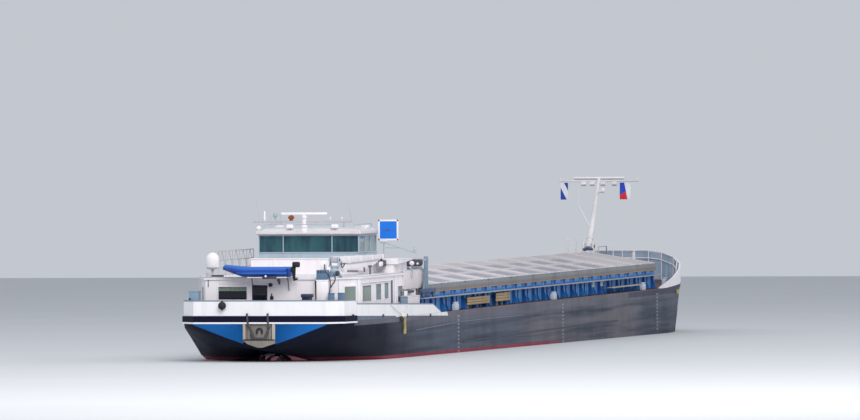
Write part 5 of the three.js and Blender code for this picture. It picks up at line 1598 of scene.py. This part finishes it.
def makeCraneBoom():
    s, y, pivot = crane["s"], crane["y"], crane["pivotZ"]
    bm = bmesh.new()
    addSlab(bm, y, 0.15, crane["web"], 0.02)
    addSlab(bm, y, 0.12, crane["jib"], 0.02)
    addRod(bm, (s, y - 0.19, pivot), (s, y + 0.19, pivot), 0.06, 16)
    for station in crane["bands"]:
        low, top = (z + (station - start) * slope for z, start, slope in (crane["bandLow"], crane["bandTop"]))
        addPost(bm, station, y, 0.09, 0.165, (low, top), 0.012)
    foot, end, head = crane["cylinder"]
    addRod(bm, foot, end, 0.045, 14, tone=1)
    addRod(bm, end, head, 0.024, 12, tone=3)
    addBoxes(bm, crane["boomBoxes"])
    # The soft grey slab in the gap between boom and jib is painted shade in that crease.
    addSlab(bm, y, 0.145, crane["gap"], 0, 3)
    makePiece("craneBoom", bm, "deck_crane_boom",
              ["whitePaint", "steel", "pipeGrey", "softGrey"],
              stands=["deck_crane_boom"])
    bm = bmesh.new()
    addBoxes(bm, crane["blockBoxes"])
    addTurned(bm, crane["sheave"], crane["sheaveAt"], 18, (0, 1, 0))
    makePiece("craneBlock", bm, "deck_crane_boom", ["navyPaint", "whitePaint"],
              stands=["deck_crane_hook"])
    hookS, hookZ, radius = crane["hook"]
    turns = [math.radians(20 * i + 90) for i in range(crane["hookSteps"])]
    hook = lengthwise(y, [(hookS + radius * math.cos(a), hookZ + radius * math.sin(a)) for a in turns])
    makeTubes("craneHook", [hook], 0.03, "deck_crane_boom", "steel", sides=2, curved=True)
    makeTubes("craneHoses", [lengthwise(crane["hoseY"], path) for path in crane["hoses"]], 0.022,
              "deck_crane_boom", "blackPlastic", sides=2, curved=True)


# Valve casing beside the crane, with its knobs, hoses and a thin pipe.
casing = {
    "slot": "white_paint", "paints": ["whitePaint", "blueLocker", "driveDark"], "stands": ["crane_casing"],
    "boxes": (((1.42, 1.815), (-3.14, -2.53), (3.21, 5.25), 0.03), ((1.4, 1.815), (-3.16, -2.51), (5.17,
        5.215), 0.015), ((1.42, 1.815), (-3.11, -2.53), (5.22, 5.72), 0.03, 1), *(((1.405, 1.44), (y - 0.035,
        y + 0.035), (5.56, 5.69), 0.01, 2) for y in (-3.0, -2.88, -2.76, -2.64)), ((1.5, 1.75), (-3.0, -2.69),
        (5.72, 6.15), 0.03), ((1.408, 1.43), (-3.06, -2.61), (3.6, 5.1), 0.008), ((2.08, 2.3), (-3.5, -3.34),
        (5.46, 5.66), 0.03, 2)),
    "hoses": (((1.47, -2.95, 6.0), (1.46, -2.96, 5.85), (1.45, -2.99, 5.66), (1.44, -3.14, 5.5), (1.42, -3.24,
        5.1), (1.4, -3.22, 4.7), (1.42, -3.19, 4.5), (1.44, -3.17, 3.9)), ((1.9, -3.3, 5.5), (1.68, -3.43,
        5.35), (1.6, -3.42, 5.15), (1.5, -3.32, 4.98), (1.46, -3.26, 4.85))),
    "line": ((1.92, -3.52, 5.2), (1.88, -3.56, 4.6))}

makeCraneFoot()
makeCraneBoom()
makeBoxes("craneCasing", casing)
makeTubes("casingHoses", casing["hoses"], 0.032, "barge", "driveDark", sides=2, curved=True)
makeTubes("casingLine", [casing["line"]], 0.016, "barge", "softGrey", sides=1)
print("deck crane done")

# Hatch crane: box legs on wheeled bogies, and a cross beam.
gantry = {
    "s": 17.2, "y": 4.36, "bogie": (16.15, 19.0), "bogieZ": (4.25, 4.45), "wheelS": (16.45, 18.7),
    "wheelZ": 4.154, "axleZ": 4.17, "legS": (17.05, 17.35), "legZ": (4.4, 6.1),
    "rungs": (4.75, 5.1, 5.45, 5.8),
    "wheel": ((0, 0), (0.13, 0), (0.145, 0.02), (0.145, 0.08), (0.13, 0.1), (0, 0.1)),
    "knee": ((0.7, 4.42), (0.2, 4.42), (0.2, 4.9)),
    "beam": ((16.96, 17.44), (-4.425, 4.425), (5.87, 5.99), 0.02, 2)}

# Its drive: a dark box under a drum, with lamps as (y, z, radius).
drive = {
    "boxes": (((16.51, 16.94), (-4.2, -3.3), (5.6, 5.86), 0.04), ((16.56, 16.92), (-4.25, -3.35), (5.44,
        5.58), 0.03, 2), ((16.6, 16.9), (-4.1, -3.6), (5.36, 5.46), 0.02, 2)),
    "drum": ((0, 0), (0.13, 0), (0.15, 0.04), (0.15, 1.3), (0.13, 1.34), (0, 1.34)),
    "drumAt": (16.74, -4.27, 5.8), "lampS": 16.52,
    "lamps": ((-3.78, 5.76, 0.125), (-4.08, 5.74, 0.06), (-3.7, 5.53, 0.055))}


def makeGantry():
    bm = bmesh.new()
    middle = gantry["s"]
    for side in bothSides:
        y = side * gantry["y"]
        addBox(bm, gantry["bogie"], (y - 0.085, y + 0.085), gantry["bogieZ"], 0.02, 3)
        for s in gantry["wheelS"]:
            addTurned(bm, gantry["wheel"], (s, y - 0.05, gantry["wheelZ"]), 20, (0, 1, 0), 1)
            addRod(bm, (s, y - 0.1, gantry["axleZ"]), (s, y + 0.1, gantry["axleZ"]), 0.04, 10, tone=1)
        for s in gantry["legS"]:
            addPost(bm, s, y, 0.065, 0.065, gantry["legZ"], 0.015)
        for z in gantry["rungs"]:
            addPost(bm, middle, y, 0.1, 0.03, (z, z + 0.05), 0.01)
        for way in (-1, 1):
            addPlate(bm, lengthwise(y, [(middle + way * out, z) for out, z in gantry["knee"]]), (0, 0.03, 0))
    addBox(bm, *gantry["beam"])
    makePiece("hatchGantry", bm, "hatch_crane", ["greyPaint", "steel", "softGrey", "bogieBlue"],
              stands=["hatch_crane"])
    bm = bmesh.new()
    addBoxes(bm, drive["boxes"])
    addTurned(bm, drive["drum"], drive["drumAt"], 20, (0, 1, 0))
    for y, z, radius in drive["lamps"]:
        lens = ((0, 0), (radius, 0), (radius, 0.05), (radius * 0.7, 0.08), (0, 0.09))
        addTurned(bm, lens, (drive["lampS"], y, z), 18, (-1, 0, 0), 1)
    makePiece("gantryDrive", bm, "hatch_crane", ["driveDark", "whitePaint", "greyPaint"],
              stands=["hatch_crane_drive"])


makeGantry()

# Panelling and buffer bars on the fore part of the house side. The panels' grey beige is partly their own
# tone and partly painted shade on the house wall there.
panels = {
    "pairs": (((13.1, 17.34), (4.165, 4.2), (4.5, 5.46), 0.01), ((13.1, 15.99), (4.095, 4.17), (4.52, 5.3),
        0.01), *(((s - 0.03, s + 0.03), (4.17, 4.215), (4.48, 5.47), 0.01) for s in (13.14, 15.9, 17.3)),
        ((13.1, 17.34), (4.16, 4.21), (5.45, 5.48), 0.01, 1)),
    "ring": ((0.12, 0), (0.27, 0), (0.27, 0.012), (0.24, 0.018), (0.14, 0.018), (0.12, 0.012)),
    "ringAt": (14.7, 4.198, 5.27), "buffer": ((13.0, 14.95), (4.16, 4.27), (4.3, 4.43), 0.03)}

# Lockers, crate and valve boxes on deck.
gear = {
    "portLocker": {"slot": "grey_paint", "paints": ["paleLocker", "navyPaint"], "stands": ["locker_port"],
        "boxes": (((0.61, 0.99), (3.27, 3.79), (3.21, 4.66), 0.03), ((0.6, 1.0), (3.26, 3.8), (4.64, 4.72),
        0.025), ((0.602, 0.62), (3.34, 3.62), (3.4, 4.55), 0.008), ((0.596, 0.615), (3.68, 3.785), (3.3,
        4.36), 0.008, 1))},
    "starboardLocker": {"boxes": (((12.2, 14.8), (-4.6, -4.2), (3.21, 4.12), 0.03), ((12.17, 14.83), (-4.61,
        -4.19), (4.1, 4.18), 0.03)), "seams": (12.85, 13.5, 14.15)},
    "deckCrate": {"slot": "black_plastic", "paints": ["navyPaint", "crateLid"], "stands": ["deck_crate"],
        "boxes": (((0.92, 1.18), (-2.39, -1.9), (3.21, 4.42), 0.04), ((0.88, 1.22), (-2.45, -1.86), (4.38,
        4.55), 0.04, 1), *(((0.905, 0.93), (y - 0.03, y + 0.03), (3.4, 4.34), 0.01) for y in (-2.28, -2.14,
        -2.0)))},
    "valveBoxes": {"slot": "grey_paint", "paints": ["blueLocker"], "boxes": (((1.12, 1.36), (-3.48, -3.19),
        (3.21, 4.54), 0.02), ((1.105, 1.375), (-3.492, -3.178), (4.54, 4.59), 0.012), ((1.6, 1.84), (-3.88,
        -3.57), (3.21, 4.54), 0.02), ((1.585, 1.855), (-3.892, -3.558), (4.54, 4.59), 0.012))},
    "switchBox": {"slot": "white_paint", "paints": ["whitePaint"], "boxes": (((12.98, 13.4), (-4.3, -4.19),
        (4.16, 4.42), 0.03),)}}


def makePanels():
    bm = bmesh.new()
    for pair in panels["pairs"]:
        addPair(bm, *pair)
    s, y, z = panels["ringAt"]
    for side in bothSides:
        addTurned(bm, panels["ring"], (s, side * y, z), 20, (0, side, 0), 1)
    makePiece("houseForePanels", bm, "barge", ["beigePanel", "softGrey"])
    bm = bmesh.new()
    addPair(bm, *panels["buffer"])
    makePiece("houseBufferBars", bm, "barge", ["navyPaint"])


# The locker's after end is painted grey.
def makeStarboardLocker():
    look = gear["starboardLocker"]
    bm = bmesh.new()
    addBoxes(bm, look["boxes"])
    bmesh.ops.recalc_face_normals(bm, faces=bm.faces)
    paintFaces([face for face in bm.faces if face.normal.x < -0.7], 1)
    for s in look["seams"]:
        addBox(bm, (s - 0.015, s + 0.015), (-4.61, -4.59), (3.3, 4.15), 0.005)
    makePiece("starboardLocker", bm, "barge", ["beigePanel", "greyPaint"],
              stands=["locker_starboard"])


makePanels()
for name, look in gear.items():
    if name == "starboardLocker":
        makeStarboardLocker()
    else:
        makeBoxes(name, look)
print("hatch crane and deck gear done")

# Ball fender on its lanyard, and rope fenders lashed to the side.
fender = {
    "at": (-0.204, 1.87), "z": 4.0, "radius": 0.199,
    "knots": ((-0.32, -0.02, 0.1), (-0.1, 0.02, 0.11), (0.12, -0.01, 0.1), (0.32, 0.01, 0.08)),
    "knotsAt": (10.2, -4.87, 3.24),
    "core": ((0, 0), (0.06, 0.02), (0.09, 0.1), (0.09, 0.2), (0.05, 0.3), (0, 0.32)),
    "coreAt": (9.8, -4.86, 2.92), "foreAt": (78.5, -4.78, 2.74),
    "fore": ((0, 0), (0.07, 0.02), (0.09, 0.08), (0.09, 0.24), (0.06, 0.3), (0, 0.32)),
    "body": ((10.36, -4.86, 3.2), (10.34, -4.86, 2.9), (10.44, -4.85, 2.6), (10.38, -4.85, 2.32)),
    "lashings": (((7.79, -4.745, 3.87), (9.85, -4.83, 3.28)), ((11.44, -4.79, 3.77), (10.55, -4.83, 3.27)))}


def makeFenders():
    bm = bmesh.new()
    place, z = fender["at"], fender["z"]
    addBall(bm, (*place, z), fender["radius"], 14)
    addRod(bm, (*place, z + 0.18), (*place, z + 0.25), 0.04)
    addRod(bm, (*place, z - 0.24), (*place, z - 0.18), 0.03)
    makePiece("ballFender", bm, "barge", ["rubber"], stands=["ball_fender"], smooth=60)
    bm = bmesh.new()
    s, y, z = fender["knotsAt"]
    for ds, dz, size in fender["knots"]:
        addBall(bm, (s + ds, y, z + dz), size, 6)
    addTurned(bm, fender["core"], fender["coreAt"], 14, tone=1)
    addTurned(bm, fender["fore"], fender["foreAt"], 14, tone=2)
    makePiece("ropeFenders", bm, "barge", ["whiteRope", "darkRope", "yellowRope"], smooth=60)
    makeTubes("ropeFenderBody", [fender["body"]], 0.08, "barge", "yellowRope", curved=True)
    makeTubes("fenderLashings", fender["lashings"], 0.016, "barge", "whiteRope", sides=2)


makeFenders()
print("fenders done")

# Bow anchors, and the windlass with its drums as (inner, outer, radius) to each side.
portAndStarboard = (("port", 1), ("starboard", -1))
bowAnchor = {
    "s": 81.2, "y": 3.81, "crown": ((80.85, 81.55), (2.0, 2.16)),
    "fluke": ((0.22, 2.1), (0.45, 2.16), (0.6, 2.82), (0.3, 2.45))}
windlass = {
    "s": 80.6, "footS": 81.1, "lift": 0.42, "cheekY": (-0.7, 0.7),
    "drums": ((0.3, 0.52, 0.2), (0.52, 0.6, 0.28), (0.78, 0.85, 0.27), (0.85, 1.12, 0.15), (1.12, 1.2, 0.27)),
    "cheek": ((-0.3, 0.1), (0.3, 0.1), (0.12, 0.55), (-0.12, 0.55))}


def makeBowAnchors():
    s, (crownS, crownZ) = bowAnchor["s"], bowAnchor["crown"]
    for name, side in portAndStarboard:
        bm = bmesh.new()
        y = side * bowAnchor["y"]
        addRod(bm, (s, y, 2.1), (s, y, 2.78), 0.07, 12, 0.05)
        addBox(bm, crownS, (y - 0.09, y + 0.09), crownZ, 0.04)
        for way in (1, -1):
            addSlab(bm, y, 0.06, [(s + way * out, z) for out, z in bowAnchor["fluke"]], 0.02)
        makePiece("bowAnchor" + name.capitalize(), bm, "barge", ["steel"],
                  stands=["bow_anchor_" + name])


def makeWindlass():
    bm = bmesh.new()
    s, z = windlass["s"], sheerZ(windlass["footS"]) + 0.004
    axle = z + windlass["lift"]
    addPost(bm, s, 0, 0.5, 0.9, (z, z + 0.12), 0.03)
    for side in bothSides:
        for inner, outer, radius in windlass["drums"]:
            y0, y1 = across(side, inner, outer)
            addRod(bm, (s, y0, axle), (s, y1, axle), radius, 24, tone=1)
    addRod(bm, (s, -1.15, axle), (s, 1.15, axle), 0.08, 14)
    for y in windlass["cheekY"]:
        addSlab(bm, y, 0.05, [(s + ds, z + up) for ds, up in windlass["cheek"]], 0.015)
    addPost(bm, s, 0, 0.34, 0.28, (z + 0.1, z + 0.84), 0.05)
    makePiece("windlass", bm, "barge", ["greyPaint", "steel"], stands=["windlass"])


# Bow rail and the plating below it.
bowRail = {"stations": (80.4, 82.0, 83.5, 85.0, 85.6), "inboard": 0.22, "rise": 0.08, "step": 0.45}
bowPlating = {
    "aftS": 73.6, "aftZ": 3.25, "bend": (78.0, 3.8), "stemZ": 5.19,
    "ribs": (74.8, 76.2, 77.6, 79.0, 80.4, 81.8, 83.2, 84.4)}


def bowTop(s):
    (bendS, bendZ), aft, aftZ = bowPlating["bend"], bowPlating["aftS"], bowPlating["aftZ"]
    if s < bendS:
        return aftZ + (bendZ - aftZ) * (s - aft) / (bendS - aft)
    return bendZ + (bowPlating["stemZ"] - bendZ) * (s - bendS) / (barge["length"] - bendS)


def makeBowRail():
    port = [(s, alongRows(deckEdge, s) - bowRail["inboard"]) for s in bowRail["stations"]]
    loop = port + [(bowRail["stations"][-1], 0)] + [(s, -y) for s, y in reversed(port)]
    top = {s: bowTop(s) + bowRail["rise"] for s, _ in loop}
    pipes = [[(s, y, top[s] - drop) for s, y in loop] for drop in (0, bowRail["step"])]
    posts = [[(s, y, sheerZ(s + 0.05) + 0.008), (s, y, top[s] + 0.03)] for s, y in loop]
    makeTubes("bowRailing", pipes + posts, 0.03, "barge", "whitePaint", stands=["bow_rail"],
              sides=2)
    bm = bmesh.new()
    for s in bowPlating["ribs"]:
        y, foot, head = alongRows(deckEdge, s) - 0.12, sheerZ(s) + 0.01, bowTop(s) - 0.06
        for side in bothSides:
            rib = ((side * y, foot), (side * (y - 0.2), foot), (side * (y - 0.05), head), (side * y, head))
            addPlate(bm, crosswise(s, rib), (0.05, 0, 0))
    # The ribs are blue grey as painted shade inside the plating.
    makePiece("bowPlatingRibs", bm, "barge", ["bowRibShade"])


# Fore deck posts, aerial, mooring post and a bare pipe rail.
deckPosts = {
    "posts": ((77.0, 1.41), (77.0, 0.91), (77.0, 0.52)), "top": 6.0, "aerial": (83.0, 0.0),
    "aerialZ": (5.0, 5.95), "bollardAt": (84.0, -1.02),
    "bollard": ((0, 0), (0.16, 0), (0.16, 0.04), (0.09, 0.06), (0.09, 1.7), (0.12, 1.74), (0.12, 1.8), (0,
        1.84)),
    "rail": (79.4, 81.6, 5.52), "railY": 0.1}


def makeForePosts():
    bm = bmesh.new()
    top = deckPosts["top"]
    for s, y in deckPosts["posts"]:
        addRod(bm, (s, y, sheerZ(s)), (s, y, top), 0.05, 8)
        addBall(bm, (s, y, top), 0.06, 5)
    (s, y), (z, top) = deckPosts["aerial"], deckPosts["aerialZ"]
    addRod(bm, (s, y, sheerZ(s)), (s, y, z), 0.04, 8)
    addRod(bm, (s, y, z), (s, y, top), 0.025, 6, 0.012)
    s, y = deckPosts["bollardAt"]
    addTurned(bm, deckPosts["bollard"], (s, y, sheerZ(s)), 14)
    makePiece("foreDeckPosts", bm, "barge", ["whitePaint"])
    aft, fore, z = deckPosts["rail"]
    path = lengthwise(deckPosts["railY"], ((aft, sheerZ(aft)), (aft, z), (fore, z), (fore, sheerZ(fore))))
    makeTubes("foreDeckRail", [path], 0.03, "barge", "softGrey", sides=2)


makeBowAnchors()
makeWindlass()
makeForePosts()
makeBowRail()
print("fore deck done")

# Leaning signal mast, laid out upright from its pin: yard, lamps, searchlight, thin rods and radar scanner.
mast = {
    "s": 76.3, "z": 5.6, "lean": 37.0, "length": 4.82, "yardZ": 4.7, "yardHalf": 2.37,
    "lamps": (-0.96, -0.28, 0.35, 0.87), "endY": 2.3,
    "end": ((0, 0), (0.05, 0.01), (0.07, 0.07), (0.07, 0.17), (0.04, 0.23), (0, 0.24)),
    "searchlight": ((0, 0), (0.12, 0.0), (0.13, 0.04), (0.13, 0.16), (0.1, 0.2), (0, 0.22)),
    "searchlightAt": (-0.16, -0.36, 3.95), "searchlightAxis": (-0.6, -0.2, -0.5),
    "bracket": ((-0.04, 0.04), (-0.44, -0.08), (3.88, 3.95), 0.01),
    "rods": ((-0.12, 0.12, 1.4), (-0.08, 0.95, 2.9), (-0.62, 0.97, 3.7))}
pedestal = {
    "footS": 76.7, "cheek": ((76.53, 5.75), (76.42, 5.85), (76.18, 5.85), (76.07, 5.75)), "cheekY": 0.24,
    "cheekS": (75.95, 76.65), "cheekThick": 0.075, "pinY": (0.315, 0.345),
    "collar": ((76.03, 76.57), (-0.3, 0.3), (5.36, 5.5), 0.02, 2)}


def leanMast(piece):
    turn = Matrix.Translation(at(mast["s"], 0, mast["z"])) @ Matrix.Rotation(math.radians(mast["lean"]), 4,
                                                                             "Y")
    piece.data.transform(turn @ Matrix.Translation(-at(0, 0, 0)))


def makeMast():
    bm = bmesh.new()
    top, yard, half = mast["length"], mast["yardZ"], mast["yardHalf"]
    addRod(bm, (0, 0, -0.1), (0, 0, top), 0.175, 20, 0.1)
    addRod(bm, (0, -0.23, 0), (0, 0.23, 0), 0.055, 14)
    addRod(bm, (0, 0, 0.5), (0, 0, 0.56), 0.19, 20)
    addRod(bm, (0, -half, yard), (0, half, yard), 0.045, 12)
    for y in mast["lamps"]:
        addRod(bm, (0, y, yard - 0.08), (0, y, yard), 0.03, 8)
        addPost(bm, 0, y, 0.1, 0.15, (yard - 0.3, yard - 0.08), 0.04)
    for side in bothSides:
        addTurned(bm, mast["end"], (0, side * mast["endY"], yard - 0.03), 14)
    leanMast(makePiece("signalMast", bm, "signal_mast", ["mastPaint"], stands=["signal_mast"]))
    bm = bmesh.new()
    addTurned(bm, mast["searchlight"], mast["searchlightAt"], 18, mast["searchlightAxis"])
    addBox(bm, *mast["bracket"])
    low, bend, end = mast["rods"]
    addRod(bm, low, bend, 0.018, 8)
    addRod(bm, bend, end, 0.012, 6)
    leanMast(makePiece("mastFittings", bm, "signal_mast", ["whitePaint"]))
    leanMast(makeScanner("bowScanner", "radar_scanner_bow", 0, 0, (top + 0.004, top + 0.06),
                         (top + 0.04, top + 0.04, top + 0.15, top + 0.155), 1.5))


def makePedestal():
    bm = bmesh.new()
    base = sheerZ(pedestal["footS"]) + 0.004
    foot = [(s, base) for s in pedestal["cheekS"]]
    y0, y1 = pedestal["pinY"]
    for side in bothSides:
        addPlate(bm, lengthwise(side * pedestal["cheekY"], (*foot, *pedestal["cheek"])),
                 (0, side * pedestal["cheekThick"], 0), 0.012)
        addRod(bm, (mast["s"], side * y0, mast["z"]), (mast["s"], side * y1, mast["z"]), 0.09, 16, tone=1)
    addBox(bm, (76.0, 76.6), (-0.315, 0.315), (base, 4.9), 0.03)
    addBox(bm, (75.9, 76.7), (-0.42, 0.42), (base, base + 0.06), 0.015)
    addBox(bm, *pedestal["collar"])
    makePiece("mastPedestal", bm, "barge", ["mastPaint", "driveDark", "bogieBlue"],
              stands=["mast_pedestal"])


makeMast()
makePedestal()

# Two small flags, cut flat and hung from the yard's ends, blown a little by the wind.
flags = {
    "pennant": {"width": 0.44, "drop": 0.98, "bands": ((30, 70, 170), (236, 238, 242), (30, 70, 170))},
    "flag": {"width": 0.64, "drop": 0.98, "bands": ((222, 40, 56), (236, 238, 242), (36, 74, 190))}}


def paintFlag(tree, place, bands, diagonal):
    u, v = axes(tree, place)[:2]
    top, middle, bottom = (linear(*band) for band in bands)
    if diagonal:
        wave = maths(tree, "ADD", product(tree, v, 0.8), product(tree, u, -0.7))
        return mixColour(tree, spanOf(tree, wave, -0.12, 0.42, 0.02), top, middle)
    half = spanOf(tree, maths(tree, "ADD", v, product(tree, u, 0.35)), -1.0, 0.62, 0.02)
    third = spanOf(tree, maths(tree, "ADD", u, product(tree, v, -0.3)), -1.0, 0.28, 0.02)
    return mixColour(tree, third, mixColour(tree, half, bottom, top), middle)


def makeFlag(name, look, diagonal):
    tree, shader, place = startMaterial(name + "Cloth", "UV")
    colour = paintFlag(tree, place, look["bands"], diagonal)
    cloth = addNode(tree, "ShaderNodeGroup", {"Vector": place, "Paint": colour}, node_tree=groups["weave"])
    tree.links.new(cloth.outputs["Color"], shader.inputs["Base Color"])
    addBump(tree, shader, cloth.outputs["Height"], 0.0003, 0.4)
    shader.inputs["Roughness"].default_value = 0.85
    shader.inputs["Sheen Weight"].default_value = 0.3
    low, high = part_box(name)
    bm = bmesh.new()
    bmesh.ops.create_grid(bm, x_segments=16, y_segments=24, size=0.5)
    layer = bm.loops.layers.uv.new("UVMap")
    for face in bm.faces:
        for loop in face.loops:
            loop[layer].uv = (loop.vert.co.x + 0.5, loop.vert.co.y + 0.5)
    middle, width, drop = (low + high) / 2, look["width"] * scale, look["drop"] * scale
    for vert in bm.verts:
        u, v = vert.co.x, vert.co.y
        fold = 0.035 * math.sin(u * 9.0 + v * 2.0) * (0.5 - v) + 0.02 * math.sin(v * 6.0)
        vert.co = Vector((middle.x + fold * width, middle.y + u * width, high.z + (v - 0.5) * drop))
    piece = makePiece(name + "Cloth", bm, "signal_mast", [name + "Cloth"], stands=[name],
                      smooth=80,
                      outward=False)


makeFlag("pennant", flags["pennant"], True)
makeFlag("flag", flags["flag"], False)
print("mast and flags done")

# Under water: screw with four twisted blades, and two balanced rudders.
screw = {
    "s": 3.7, "z": 0.75, "radius": 0.575, "root": 0.1, "blades": 4, "pitch": (62, 34.0), "thick": 0.03,
    "hub": ((0, 0), (0.07, 0.02), (0.11, 0.1), (0.13, 0.22), (0.14, 0.4), (0.14, 0.53), (0, 0.53)),
    "hubS": 3.45}
rudder = {
    "y": 0.5, "bladeZ": 0.15, "bladeHigh": 1.27, "endZ": (0.13, 1.4), "endThick": 0.03, "stockS": 2.35,
    "blade": ((1.75, 0), (2.0, 0.05), (2.5, 0.075), (2.8, 0.05), (2.9, 0), (2.8, -0.05), (2.5, -0.075), (2.0,
        -0.05)),
    "end": ((1.72, 0), (2.3, 0.1), (2.8, 0.09), (2.93, 0), (2.8, -0.09), (2.3, -0.1))}


# Where a blade's grid point goes: u across the blade, v out from the hub.
def bladePoint(u, v, turn):
    limit, root, (steep, twist) = screw["radius"], screw["root"], screw["pitch"]
    reach = root + v * (limit - root)
    chord = 0.42 * math.sin(math.pi * (0.16 + 0.8 * v)) + 0.03
    slant = math.radians(steep - twist * v)
    around = u * chord * math.sin(slant) + 0.05 * v
    y = around * math.cos(turn) - reach * math.sin(turn)
    up = around * math.sin(turn) + reach * math.cos(turn)
    inside = min(1.0, limit / math.hypot(y, up))
    return at(screw["s"] + u * chord * math.cos(slant) * 0.9, y * inside, screw["z"] + up * inside)


def makeScrew():
    bm = bmesh.new()
    addTurned(bm, screw["hub"], (screw["hubS"], 0, screw["z"]), 24, (1, 0, 0))
    for i in range(screw["blades"]):
        grid = bmesh.ops.create_grid(bm, x_segments=6, y_segments=8, size=0.5)["verts"]
        for vert in grid:
            vert.co = bladePoint(vert.co.x, vert.co.y + 0.5, math.tau * i / screw["blades"])
        bmesh.ops.solidify(bm, geom=facesOf(grid), thickness=screw["thick"] * scale)
    makePiece("screw", bm, "propeller", ["bronze"], stands=["propeller"], smooth=40)


def makeRudders():
    s = rudder["stockS"]
    for name, side in portAndStarboard:
        bm = bmesh.new()
        y = side * rudder["y"]
        blade = flatwise(rudder["bladeZ"], [(station, y + out) for station, out in rudder["blade"]])
        addPlate(bm, blade, (0, 0, rudder["bladeHigh"]), 0.008)
        addRod(bm, (s, y, 1.4), (s, y, 1.49), 0.06, 14)
        for z in rudder["endZ"]:
            end = flatwise(z, [(station, y + out) for station, out in rudder["end"]])
            addPlate(bm, end, (0, 0, rudder["endThick"]))
        makePiece("rudder" + name.capitalize(), bm, "rudder_" + name, ["steel"],
                  stands=["rudder_" + name])


# The engine inside the hull: block on its bed, six heads, and the exhaust beside them.
engine = {
    "block": ((8.3, 11.9), (-0.4, 0.4), (1.15, 2.2), 0.06),
    "bed": ((8.2, 12.0), (-0.75, 0.75), (1.11, 1.25), 0.03), "heads": 6, "firstS": 8.6, "pitch": 0.52,
    "headLong": 0.4, "pipeY": 0.62, "pipeZ": 2.45, "pipeS": (8.4, 11.9), "upS": 11.6, "upZ": 2.9}


def makeEngine():
    bm = bmesh.new()
    addBox(bm, *engine["block"])
    addBox(bm, *engine["bed"])
    y, z, up = engine["pipeY"], engine["pipeZ"], engine["upS"]
    for i in range(engine["heads"]):
        s = engine["firstS"] + i * engine["pitch"]
        addBox(bm, (s, s + engine["headLong"]), (-0.3, 0.3), (2.18, 2.6), 0.05)
        addRod(bm, (s + 0.2, 0.28, z), (s + 0.2, 0.6, z), 0.07, 12)
    addRod(bm, *[(s, y, z) for s in engine["pipeS"]], 0.13, 16)
    addRod(bm, (up, y, z), (up, y, engine["upZ"]), 0.12, 16)
    makePiece("engine", bm, "barge", ["greyPaint"], stands=["engine_block"])


makeScrew()
makeRudders()
makeEngine()
print("screw, rudders and engine done")
